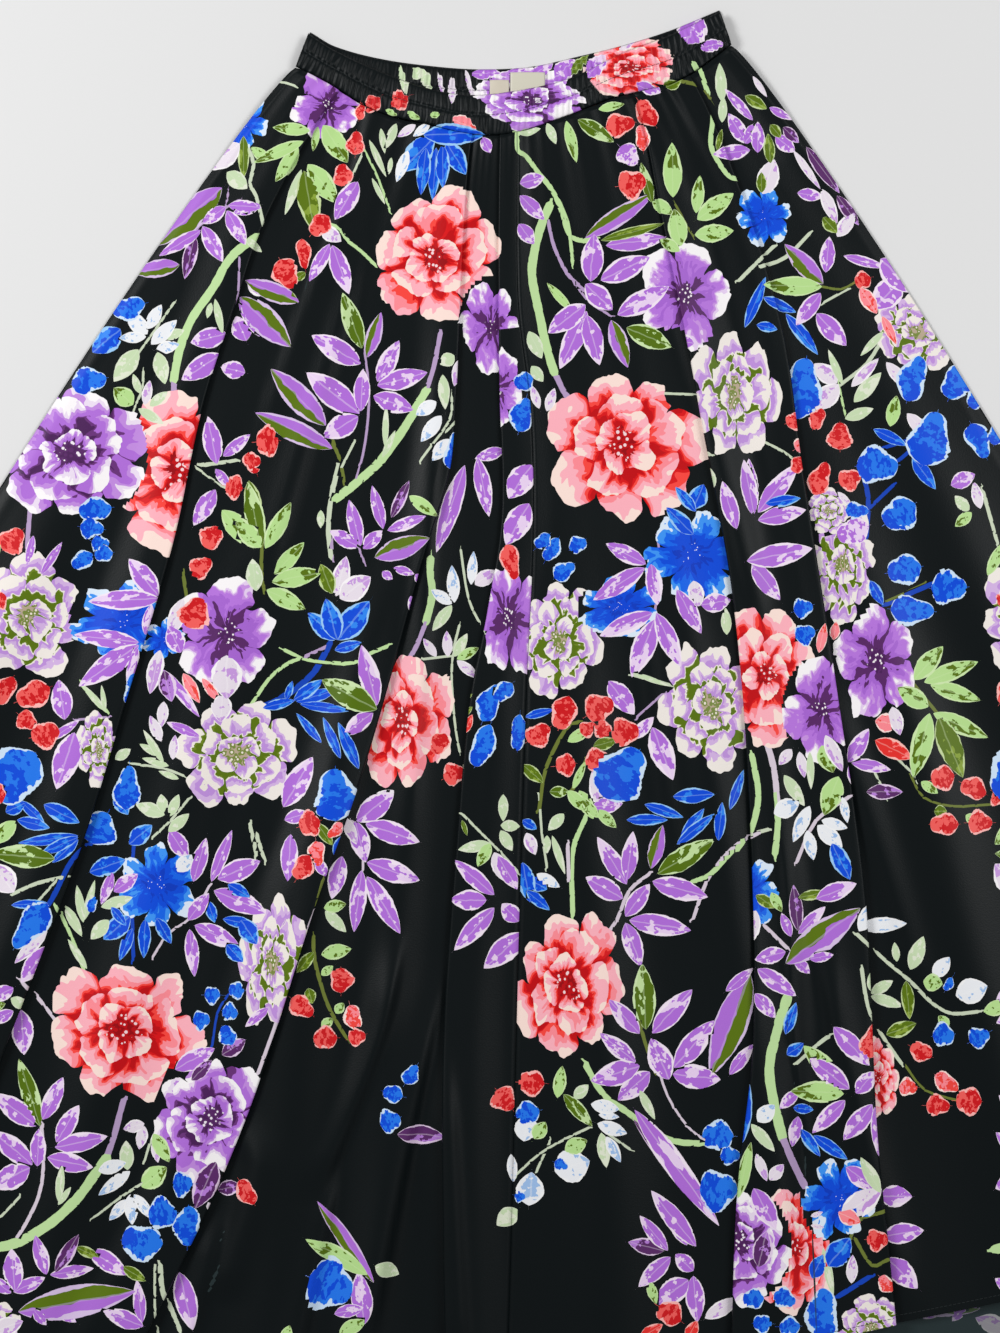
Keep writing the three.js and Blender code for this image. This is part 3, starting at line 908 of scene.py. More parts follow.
# Stems: kind, width, then the x y points they pass, all in millimetres on the floor plan
STEMS = """
G 2 -108 444 -98 425 -90 405 -86 394|G 3 -134 384 -126 380 -118 370 -108 362 -98 352
S 3 -198 446 -192 430 -195 415 -190 405 -185 385 -183 376|S 2 -196 474 -182 492 -172 494 -160 490
G 7 -190 373 -205 362 -215 350 -222 336 -240 310 -250 285 -254 262|V 5 -254 262 -254 246 -252 230
V 2 -203 357 -204 330 -207 312|P 2 -212 408 -214 396|P 2 -204 402 -235 382 -247 356
S 2 -254 323 -265 307 -277 290 -287 276|S 2 -278 270 -279 255 -284 243 -286 236
S 3 -239 196 -225 197 -205 200|S 2 -237 194 -225 185 -214 178|V 4 -366 162 -368 132
V 2 -106 285 -103 260 -103 235 -107 205 -114 180|V 4 -47 298 -52 272 -58 254
G 7 -58 254 -75 225 -93 200 -110 184 -128 170|S 4 -126 196 -132 170 -134 145 -132 124
S 2 -125 192 -114 214|O 3 -131 214 -125 200 -122 184|S 2 -38 250 -40 230 -62 200
S 2 -30 235 -42 222|O 3 -185 142 -186 112 -184 100|V 2 -110 130 -106 120
G 4 13 454 13 440 20 435 30 422 40 410 48 392 53 376 62 371 72 372|G 3 45 402 52 385 55 365 56 354
G 7 38 398 30 378 25 355 25 338 30 315 35 290 42 268|V 5 42 268 50 252 60 240
V 3 37 385 42 365 52 345 62 335 74 322|O 3 135 494 155 489 163 480 168 465|O 2 136 398 145 382 150 374
G 4 153 508 159 490 165 470 163 445 170 430 178 420 186 418|V 2 53 345 68 324 85 313
S 2 150 251 126 252|S 3 150 209 162 204|S 3 202 350 222 358 240 376|S 3 186 340 198 352 212 366
O 2 250 335 265 333 280 341|S 2 252 323 270 333|S 3 298 296 285 275 265 259|G 2 262 266 265 250 268 236
S 2 205 214 220 206 230 198|S 3 375 176 380 158 386 136|O 2 300 90 330 104|B 4 300 88 334 103
B 4 280 196 286 170 284 140|B 3 282 192 310 200 330 222|B 3 284 160 305 180|B 3 300 210 325 218
G 6 -52 140 -55 115 -53 95 -58 74|V 4 -58 74 -65 56 -72 44|V 3 -132 140 -131 124
G 3 -195 8 -180 30 -165 42 -152 47|V 3 -152 47 -135 55|G 3 -168 52 -155 46 -140 43 -115 42 -102 49 -88 55
B 5 -133 57 -145 35 -165 18 -185 8|S 2 -13 67 -25 92 -31 130|S 2 -60 45 -36 48
S 2 -32 72 -37 50 -38 25 -35 -10 -30 -36|O 3 -247 110 -243 86|V 2 -328 -2 -305 0
G 3 -326 26 -315 12 -305 4|S 2 -245 -46 -262 -40 -288 -36|V 2 122 140 124 118 120 82
S 3 103 33 131 25|V 2 106 0 126 18|O 3 30 -72 35 -40 50 -10 60 -4|O 3 56 -56 66 -34
W 5 205 -15 212 -40 215 -68|G 5 195 -30 200 -60 195 -86 184 -102|O 3 320 26 340 2
O 2 318 -45 328 -62 350 -69 380 -68|S 2 300 -25 318 -42 322 -50|S 2 290 -42 300 -62
S 3 -338 -124 -360 -129 -378 -137|S 2 -345 -127 -360 -144|B 4 -312 -92 -332 -110 -345 -135 -355 -152
G 3 -346 -146 -334 -172 -324 -198|W 3 -372 -205 -355 -225 -336 -250|B 3 -285 -95 -287 -130 -285 -186
S 2 -242 -63 -256 -80 -270 -93|W 2 -270 -186 -258 -168 -240 -155 -226 -130|B 2 -224 -256 -220 -230 -212 -216
W 2 -118 -75 -108 -95 -107 -120|S 3 -195 -84 -190 -106|S 3 -190 -92 -184 -110
O 3 -137 -125 -143 -150 -145 -180 -140 -205 -132 -228 -120 -249|S 2 -30 -75 -15 -90 0 -105 14 -121
S 2 30 -60 32 -90 36 -116|W 3 52 -100 53 -126|G 4 66 -78 58 -96 55 -115 56 -152
W 3 73 -200 78 -175 90 -158 100 -135 116 -122|W 3 200 -90 185 -98 172 -110 160 -128 150 -156
G 4 150 -128 163 -122 180 -104|O 3 108 -238 113 -255 121 -278|W 2 121 -268 130 -295 145 -318 158 -329
W 3 270 -62 245 -80 230 -112|G 5 214 -58 215 -80 213 -106|S 3 190 -92 208 -87|W 3 205 -162 222 -179
S 3 276 -168 300 -190 318 -205 335 -222 350 -230 370 -228|S 3 280 -195 285 -225 295 -245 312 -270
G 8 222 -218 215 -240 208 -272 212 -300 218 -325|V 6 218 -325 228 -348 236 -364|S 3 254 -248 230 -268
W 3 -357 -318 -355 -345 -358 -370 -368 -392 -377 -406|V 5 -293 -298 -300 -325 -306 -342
G 8 -306 -342 -315 -355 -330 -375 -350 -393 -375 -408 -396 -413|S 2 -374 -373 -389 -389
S 2 -278 -362 -295 -373 -315 -388|S 2 -262 -313 -272 -330 -277 -346
S 4 -264 -425 -262 -445 -255 -463 -249 -476
S 2 -268 -425 -268 -460 -266 -484|W 3 -143 -148 -160 -195 -175 -240 -188 -276
S 2 69 -318 50 -328 30 -340 12 -356|S 2 38 -331 28 -353|S 2 82 -322 100 -335
G 5 66 -270 80 -293 98 -306 115 -320 135 -330 156 -332|B 4 262 -449 286 -434|O 3 272 -402 276 -391 298 -382
O 3 275 -405 288 -425 300 -420|O 2 314 -270 330 -290 356 -298|S 2 -108 436 -118 415
"""
# Open flowers: kind, centre x y, half sizes, a spare 0, and for some how far to the side of the
# centre the strip of cloth that they lie on is looked up
BLOOMS = """
C -50 358 50 50 0|C 97 211 58 62 0|C -250 190 60 58 0 -15|C -76 -3 37 54 0|C 205 33 44 52 0 8
C 52 -208 42 57 0 8|C -292 -245 58 57 0|C 105 505 38 23 0|C 226 -412 34 54 0 -6|C 293 -281 18 29 0 6
V -335 205 56 53 0|V 27 480 46 25 0|V -225 -312 44 48 0 -8|V 184 -410 38 44 0
A -134 474 27 27 0|A -8 305 23 35 0|A -4 255 23 30 0|A 142 330 34 42 0 14|A -213 66 39 41 0|A 6 78 28 43 0
A 293 45 31 43 0 8|A 250 5 29 40 0|Y 182 250 33 50 0|Y -366 78 44 45 0|Y -205 -30 45 45 0
Y -312 -25 18 28 0|Y 45 60 35 45 0|Y 163 8 39 51 0|Y 265 118 28 43 0|Y 325 300 33 33 0
Y 255 160 18 17 0|Y -176 -190 27 52 0 -10|B -204 462 23 23 0 3|B 205 390 22 22 0|B -293 74 40 30 0
B 150 125 38 38 0|B 95 85 33 23 0|B -267 -131 31 35 0|B 193 -135 24 28 0|B 262 -374 27 32 0 8
Y 287 -474 26 26 0|B -262 60 16 15 0|Y -392 -475 22 20 0
"""

# Leaves and petals: style, base x y, tip x y, width, all in millimetres on the floor plan
LEAVES = """
G -148 455 -177 458 10|G -153 447 -192 431 10|G -142 459 -146 440 6|G -138 460 -119 431 17
G -157 442 -175 416 11|G -150 430 -127 400 17|S -155 426 -168 391 7|O -153 425 -145 378 18
G -180 432 -194 443 9|V -111 416 -129 387 16|W -140 381 -124 370 12|V -133 368 -149 339 11
V -131 367 -118 329 15|O -152 346 -161 340 7|W -197 338 -180 330 13|O -172 332 -158 324 8
V -187 398 -208 392 10|S -198 372 -186 362 6|S -93 457 -90 438 5|S -102 448 -89 420 5
S -81 461 -89 442 7|S -85 435 -87 422 4|S -100 419 -90 399 4|W -66 460 -80 451 7
T -55 460 -68 451 7|T -72 440 -81 416 9|B -52 450 -77 424 20|B -58 442 -62 406 11
B -50 442 -53 402 10|B -45 444 -45 411 11|B -42 446 -27 421 15|B -60 452 -10 453 18
C -35 465 -16 457 13|V -14 450 -8 438 9|S -76 508 -70 482 6|S -66 505 -58 497 10
S -59 505 -51 488 9|W -46 503 -41 484 5|W -35 500 -35 476 7|W -25 504 -17 480 5
V -20 501 2 502 10|G -87 472 -78 468 5|G -70 470 -60 465 6|G -52 468 -42 468 5
V 8 502 22 505 7|V 27 500 43 509 12|V 44 496 61 512 17|O 57 500 71 516 9
V 70 497 84 516 15|W 95 520 106 527 8|V 108 492 124 484 12|O 128 488 140 494 9
V 148 523 156 546 26|V 158 520 177 524 10|S 14 452 31 457 6|S 36 461 43 445 7
G 51 463 59 431 9|R 60 464 88 447 12|G 76 472 96 476 7|V 15 414 34 420 12
V 15 405 34 387 12|V 14 383 26 368 12|L 66 373 119 407 14|O 78 371 127 384 8
V 82 367 129 373 14|V 70 339 73 376 18|V 78 340 116 358 18|V 66 337 87 317 17
R 118 400 109 431 9|G 134 404 133 446 15|G 118 402 134 391 10|G 140 366 135 395 15
G 139 362 124 372 9|G 152 392 155 421 10|G 153 387 181 407 15|G 151 375 181 378 14
S 172 478 170 508 9|S 172 462 173 482 7|O 168 440 172 457 5|V 196 464 174 488 8
V 191 446 177 469 12|V 194 441 165 437 12|V 190 446 201 462 12|W 196 498 207 482 5
O 190 483 207 473 9|W -203 446 -230 427 19|O -200 452 -200 419 9|S -213 424 -197 411 13
L -217 412 -270 367 24|V -233 379 -266 359 10|P -238 375 -246 341 11|V -232 382 -216 354 13
V -214 397 -232 384 11|V -213 394 -198 367 13|V -212 398 -186 396 10|L -250 352 -286 346 14
S -222 325 -216 297 6|S -225 322 -228 310 5|V -213 298 -241 291 16|V -217 282 -248 262 17
V -198 293 -206 312 16|V -199 268 -218 273 14|V -187 296 -204 322 8|B -296 302 -318 284 20
T -275 298 -291 315 13|T -276 296 -297 295 9|T -275 302 -264 321 10|T -272 290 -252 309 11
T -268 286 -250 290 10|S -282 286 -301 261 15|S -267 284 -261 259 12|S -281 252 -286 267 6
W -277 243 -273 262 8|S -273 242 -259 253 8|S -282 240 -262 228 8|G -286 243 -301 256 15
S -262 295 -246 301 8|V -221 197 -228 234 15|V -216 203 -195 220 10|V -222 193 -210 178 8
V -222 177 -239 149 14|G -217 161 -189 131 17|O -196 184 -189 148 13|L -157 323 -199 340 15
L -203 327 -163 288 22|L -136 227 -179 271 20|L -131 209 -191 237 17|R -186 132 -197 183 15
G -183 131 -163 167 13|G -186 132 -206 152 15|V -109 275 -147 297 18|R -108 287 -123 330 15
L -104 280 -93 315 12|V -96 261 -79 293 14|V -96 258 -57 268 16|V -99 250 -68 239 16
V -110 236 -151 268 21|V -109 238 -107 271 13|V -111 234 -138 218 18|S -90 210 -89 243 5
S -92 202 -82 223 5|S -140 161 -140 147 6|V -109 133 -118 169 12|V -91 146 -100 180 10
P -85 155 -71 184 9|V -88 145 -58 156 10|V -110 132 -133 145 12|V -107 131 -92 145 11
G -71 172 -49 156 10|L -98 124 -55 139 17|S -36 281 -47 274 11|W -32 278 -36 257 8
S -45 266 -43 239 9|S -25 281 -34 246 4|T -50 245 -66 235 11|T -46 234 -62 214 11
T -40 216 -53 199 11|V -28 196 -50 128 15|V 3 208 -20 201 10|V -18 202 -9 156 13
S 22 300 32 279 11|S 24 273 33 261 9|W 30 240 24 258 7|W 36 238 42 256 8
G 55 317 36 338 7|V 66 321 37 299 17|V 67 316 46 271 16|V 67 313 77 274 16
V 91 313 131 335 17|L 86 309 99 272 14|R 98 303 133 288 17|V 150 290 133 293 12
S 162 175 162 194 11|V 183 146 172 183 13|V 195 158 193 201 13|B 152 160 136 179 9
B 150 162 158 181 15|B 150 142 129 163 13|V 22 166 4 134 20|V 24 196 6 170 20
V 209 474 227 465 7|P 220 459 232 447 9|P 238 444 264 408 11|O 210 461 218 451 8
V 214 452 229 440 12|W 228 441 249 411 6|V 200 439 200 463 11|O 210 431 208 454 9
W 204 407 213 434 17|O 203 408 203 424 8|V 231 408 251 405 10|W 250 411 262 384 10
P 262 406 279 383 10|O 251 389 262 377 10|W 262 374 276 393 11|V 253 346 256 374 12
L 251 337 221 368 15|G 250 335 204 336 15|V 267 359 300 350 8|V 296 357 322 331 22
V 312 340 290 318 22|C 280 334 293 314 12|C 297 312 308 290 8|V 249 330 230 305 13
V 246 314 269 289 16|S 298 300 280 281 6|W 273 257 294 279 9|S 275 245 296 268 11
S 268 232 290 240 9|S 266 259 255 286 6|W 262 260 244 275 14|W 263 259 245 239 16
B 222 314 247 282 10|B 199 305 215 301 8|B 190 303 206 342 9|B 204 326 230 315 9
V 200 159 231 197 15|V 200 153 237 161 14|V 197 158 189 200 13|B 206 166 233 170 9
W 262 175 273 164 5|W 300 276 319 254 10|W 316 236 335 216 11|G 303 226 308 250 11
B 290 224 316 211 9|B 320 202 338 177 11|S 364 160 353 172 9|W 373 162 368 183 9
G 366 159 353 148 9|V 350 180 369 189 13|V -266 94 -289 123 17|V -265 92 -321 90 16
V -281 58 -332 64 14|V -281 56 -328 24 18|V -276 64 -271 88 9|V -282 56 -290 24 8
V -363 141 -368 118 7|V -357 111 -341 136 7|W -247 92 -258 62 13|V -249 50 -258 71 15
W -265 52 -273 18 13|P -262 36 -256 12 14|V -263 37 -234 0 9|C -247 34 -234 11 10
C -232 30 -218 12 8|W -213 48 -213 14 24|W -216 18 -218 -4 16|V -234 -15 -260 -4 8
W -262 12 -264 -8 9|W -264 -19 -273 1 9|W -255 -33 -253 -14 8|S -262 -36 -278 -10 6
S -265 -30 -281 -21 6|S -258 -38 -279 -32 6|S -250 -48 -266 -42 5|V -339 -2 -344 29 17
V -331 -12 -345 -56 21|V -350 -18 -327 -2 7|S -306 4 -326 26 5|S -307 4 -310 25 4
S -300 -33 -288 -25 8|S -190 98 -193 123 13|G -176 111 -153 136 12|G -178 105 -139 113 15
G -182 99 -152 84 14|O -131 96 -140 119 13|W -128 94 -120 125 14|W -125 92 -101 109 19
B -127 60 -150 81 15|B -127 60 -136 92 17|B -127 60 -102 90 21|B -129 52 -108 58 9
B -167 13 -162 28 6|B -161 13 -138 29 10|B -159 12 -127 21 10|B -156 10 -117 5 8
B -185 7 -160 13 8|R -96 6 -139 29 20|V -96 9 -108 56 16|V -99 4 -122 -14 13
V -92 113 -84 107 7|V -83 116 -67 111 7|V -66 111 -60 103 7|V -70 94 -64 75 9
T -36 89 -38 118 10|T -23 103 -21 129 8|T -38 88 -54 99 9|S -38 87 -53 67 9
W -20 103 -4 114 12|W -19 101 -6 90 9|W -50 47 -60 61 7|W -41 47 -42 67 8
S -36 47 -26 65 8|G -34 45 -17 54 8|W -34 44 -17 30 8|O -32 11 -22 18 5
O -30 1 -22 8 5|K -29 -13 -22 2 7|V -169 -70 -146 -31 19|B -139 -20 -159 3 7
B -124 -32 -138 0 8|B -110 -40 -126 -4 10|W -101 -72 -83 -57 14|B 19 0 41 6 7
V 113 119 82 135 13|V 112 116 72 91 15|V 117 119 122 87 13|V 118 81 77 63 15
V 120 76 102 31 18|V 121 81 140 39 15|W 150 106 154 85 13|V 156 87 179 91 15
V 137 99 156 65 14|S 176 64 175 85 8|S 104 34 131 24 4|V 84 28 104 2 17
V 103 -17 119 0 10|V 118 -8 134 -49 18|G 52 -19 71 -8 9|O 72 -23 90 -18 10
O 17 -37 33 -51 10|G 56 -56 66 -34 6|R 38 -58 53 -58 9|G 52 -57 67 -73 10
W 80 -72 71 -42 13|B 134 -62 166 -60 12|B 178 -72 189 -41 8|V 191 121 242 131 18
V 195 119 217 91 15|C 247 50 252 73 8|C 259 60 261 74 8|C 291 -3 309 -6 15
K 291 -18 319 -32 15|W 304 8 310 -14 11|G 321 29 344 55 15|G 329 27 371 43 14
G 334 25 373 13 13|G 332 8 308 23 15|G 336 3 379 -16 14|G 333 3 320 -47 17
O 340 0 359 -47 19|W 226 -25 216 -37 9|W 232 -27 236 -47 8|S 240 -27 241 -56 6
G 249 -22 258 -43 15|W 252 -14 265 -42 11|V 272 -35 303 -41 10|V 270 -37 281 -59 11
V 270 -35 286 -9 13|P 284 -58 312 -58 12|G 262 -46 251 -76 17|S 220 -45 236 -69 10
G 378 110 391 136 9|B 287 106 297 87 9|G 326 -50 339 -59 8
B -385 -74 -370 -67 11|B -374 -65 -354 -83 8|B -376 -80 -350 -86 10|B -355 -68 -327 -82 13
G -377 -81 -396 -99 13|B -328 -92 -375 -98 9|B -328 -93 -357 -106 9|B -328 -95 -348 -113 9
R -346 -110 -396 -106 18|W -378 -136 -396 -114 20|B -380 -146 -352 -144 7|W -352 -165 -377 -191 10
V -351 -178 -372 -206 16|S -339 -147 -326 -171 8|S -325 -160 -330 -131 7|S -324 -158 -316 -127 6
S -322 -196 -337 -173 6|V -378 -210 -396 -219 12|S -380 -218 -366 -226 9|V -373 -228 -371 -263 17
V -378 -228 -396 -237 10|R -358 -318 -375 -266 14|B -320 -121 -292 -111 15|V -301 -136 -282 -122 12
V -302 -121 -311 -146 9|S -311 -148 -286 -140 9|S -305 -158 -319 -173 11|B -288 -155 -309 -173 16
B -303 -148 -291 -162 8|B -286 -164 -296 -189 9|B -276 -157 -277 -187 10|B -267 -156 -256 -176 10
T -251 -120 -240 -107 12|S -261 -76 -284 -68 11|S -262 -74 -264 -60 9|S -257 -77 -250 -60 8
S -258 -89 -242 -75 9|B -300 -60 -290 -76 12|B -289 -99 -271 -84 14|V -257 -88 -243 -110 14
V -239 -128 -229 -94 12|V -225 -128 -209 -88 10|V -220 -126 -187 -112 17|V -223 -135 -182 -152 17
V -243 -158 -227 -137 12|V -238 -162 -203 -178 15|V -242 -165 -238 -202 11|B -212 -130 -195 -140 10
B -228 -143 -222 -160 9|B -216 -157 -189 -162 9|B -202 -158 -189 -176 15|B -213 -177 -200 -190 12
P -216 -262 -198 -250 13|V -253 -274 -222 -257 15|P -240 -282 -224 -266 10|V -168 -80 -149 -74 11
O -142 -82 -130 -99 9|B -129 -107 -115 -90 13|W -121 -78 -112 -99 9|V -112 -81 -83 -59 18
V -105 -83 -63 -97 17|V -113 -81 -105 -113 15|V -104 -113 -63 -127 17|V -104 -124 -78 -168 16
V -108 -119 -114 -167 13|V -163 -91 -165 -127 14|V -143 -110 -134 -123 9|V -123 -108 -131 -141 14
G -137 -148 -120 -145 10|S -136 -150 -120 -167 9|G -139 -184 -116 -180 12|O -145 -182 -158 -198 9
G -139 -200 -130 -193 7|O -149 -210 -146 -222 9|G -128 -230 -122 -222 8|G -139 -240 -130 -234 8
V -180 -225 -198 -240 8|V -5 -138 -36 -111 13|V -11 -142 -39 -142 16|V -5 -148 -36 -181 15
V 18 -168 -13 -195 19|S -8 -98 -33 -103 9|G -8 -98 -18 -116 10|W -5 -105 4 -128 12
O -30 -80 -26 -92 4|S 2 -60 2 -81 8|S 0 -84 15 -85 9|S 0 -88 9 -104 9
V -2 -108 13 -134 13|V 14 -159 1 -145 14|B 17 -80 28 -87 8|W 20 -90 27 -107 10
B 17 -113 23 -144 14|B 22 -126 36 -134 12|B 20 -135 38 -150 9|T 28 -122 46 -132 9
S 49 -75 37 -88 9|S 40 -92 50 -122 6|S 36 -92 36 -106 6|G 61 -57 72 -79 11
G 76 -78 62 -62 8|V 71 -70 95 -67 13|G 75 -72 90 -86 9|V 98 -130 75 -93 14
V 98 -127 103 -89 13|V 95 -141 66 -124 16|V 97 -155 116 -130 14|V 100 -158 148 -166 17
V 97 -160 109 -194 15|L 117 -118 126 -84 12|R 122 -122 166 -95 17|V 118 -128 161 -140 17
B 98 -80 130 -80 9|B 112 -68 142 -78 9|B 137 -99 166 -75 9|B 140 -96 158 -71 9
B 169 -96 172 -66 9|W 198 -150 186 -180 17|R 113 -243 110 -192 18|V 118 -246 149 -212 17
V 108 -246 84 -219 14|V 105 -268 77 -245 13|V 131 -282 117 -250 19|V 135 -273 166 -236 18
V 108 -271 70 -282 19|L 194 -200 163 -280 25|V 175 -213 196 -195 9|V 178 -278 196 -254 10
T 212 -75 232 -66 15|T 240 -69 227 -97 11|T 238 -88 243 -111 10|T 246 -84 265 -101 13
T 249 -80 269 -86 9|T 265 -62 269 -82 7|B 257 -98 271 -126 14|O 198 -138 213 -148 9
G 210 -136 218 -151 8|P 231 -166 227 -130 11|V 225 -170 218 -152 8|V 231 -168 252 -147 10
V 245 -141 276 -129 14|O 231 -140 254 -136 8|L 221 -191 279 -148 23|V 228 -187 240 -199 9
V 240 -188 258 -184 8|V 221 -182 197 -188 13|V 199 -195 229 -216 14|V 197 -214 213 -233 12
T 278 -166 292 -142 13|T 279 -163 315 -160 12|S 308 -190 306 -175 6|S 318 -196 328 -170 12
G 328 -205 343 -207 14|T 336 -202 348 -186 12|T 353 -216 377 -208 20|G 374 -228 396 -222 12
O 315 -205 318 -235 10|O 300 -247 323 -238 12|S 288 -213 287 -198 7|S 288 -215 305 -205 9
S 288 -217 313 -225 9|V 258 -240 286 -270 16|O 336 -73 346 -73 10|G 361 -76 370 -82 8
B 221 -246 229 -221 9|B 222 -262 235 -253 10|G 262 -282 235 -255 15|G 348 -240 340 -232 8
V -356 -313 -340 -280 14|V -361 -318 -394 -293 17|V -345 -330 -327 -301 14|V -346 -334 -305 -325 15
V -352 -342 -316 -349 15|V -364 -348 -396 -322 17|V -360 -349 -359 -320 13|V -366 -350 -396 -366 19
S -343 -375 -340 -347 7|S -343 -378 -333 -364 5|T -312 -352 -291 -346 11|S -290 -352 -291 -329 11
T -288 -353 -312 -371 10|G -279 -365 -259 -349 16|W -277 -316 -293 -320 10|W -277 -318 -281 -336 9
G -270 -324 -257 -345 12|W -270 -330 -266 -346 7|T -288 -371 -286 -394 11|T -290 -375 -304 -391 9
T -285 -371 -269 -389 9|P -221 -345 -237 -381 19|P -220 -368 -202 -364 12|W -228 -376 -219 -391 6
V -250 -432 -239 -476 18|V -320 -414 -289 -432 15|O -293 -426 -275 -437 9|O -329 -411 -312 -420 8
L -374 -461 -283 -445 25|V -347 -459 -329 -469 8|V -362 -459 -352 -471 8|V -352 -432 -361 -402 12
P -345 -430 -327 -401 11|V -349 -432 -316 -428 10|V -377 -445 -380 -413 16|V -378 -446 -353 -434 11
V -380 -447 -396 -436 10|V -278 -470 -282 -436 10|V -277 -472 -308 -460 14|W -396 -478 -370 -468 15
P -80 -323 -43 -326 15|L -98 -437 -142 -375 12|G -103 -431 -151 -404 14|V -105 -469 -110 -429 17
V -129 -463 -106 -456 10|G -125 -477 -104 -466 11|S -97 -424 -79 -433 12|G -168 -484 -163 -470 9
G 44 -296 48 -271 10|R 49 -293 71 -317 11|S 57 -296 68 -285 9|T 18 -330 22 -308 18
G 26 -328 35 -315 12|T 42 -353 69 -344 26|G 50 -337 67 -328 13|T 22 -380 24 -354 22
S 13 -383 -3 -395 15|T 8 -340 10 -362 8|T 70 -300 92 -304 11|T 76 -308 92 -310 6
T 75 -315 98 -323 11|S 78 -322 82 -349 10|T 82 -325 93 -345 9|V 116 -276 91 -297 17
S 108 -290 120 -313 7|V 134 -278 171 -282 19|V 104 -305 170 -396 17|P 103 -312 152 -376 8
V 152 -412 117 -368 15|V 145 -411 131 -384 11|V 130 -415 108 -387 11|P 127 -415 99 -407 13
V 132 -420 107 -442 14|V 150 -431 136 -418 13|V 146 -438 121 -456 19|V 150 -435 153 -471 15
G 115 -438 121 -456 8|K 108 -482 126 -472 10|K 145 -484 153 -470 10|B 186 -332 192 -281 11
W 159 -468 186 -452 12|G 184 -373 194 -329 10|S 194 -315 212 -336 9|W 198 -338 206 -359 8
W 208 -358 219 -346 10|T 199 -313 212 -300 13|V 270 -288 240 -265 16|V 275 -291 291 -275 14
G 266 -292 225 -290 17|V 231 -290 216 -303 10|V 267 -297 242 -323 13|V 288 -300 266 -328 15
V 290 -302 293 -340 9|V 231 -310 226 -333 11|B 233 -320 248 -341 9|B 243 -325 269 -343 10
B 227 -303 243 -305 8|V 268 -349 291 -366 14|S 294 -368 279 -341 10|W 264 -389 295 -365 19
V 294 -372 320 -373 17|C 262 -384 279 -392 13|V 296 -403 329 -399 16|V 300 -420 324 -444 18
W 272 -439 273 -417 9|P 200 -426 206 -398 15|V 196 -365 213 -396 17|W 241 -388 250 -384 4
W 241 -395 251 -396 4|S 250 -412 258 -449 7|B 254 -426 271 -404 19|B 242 -436 250 -417 12
V 342 -482 352 -466 11|V 318 -484 322 -470 9
"""
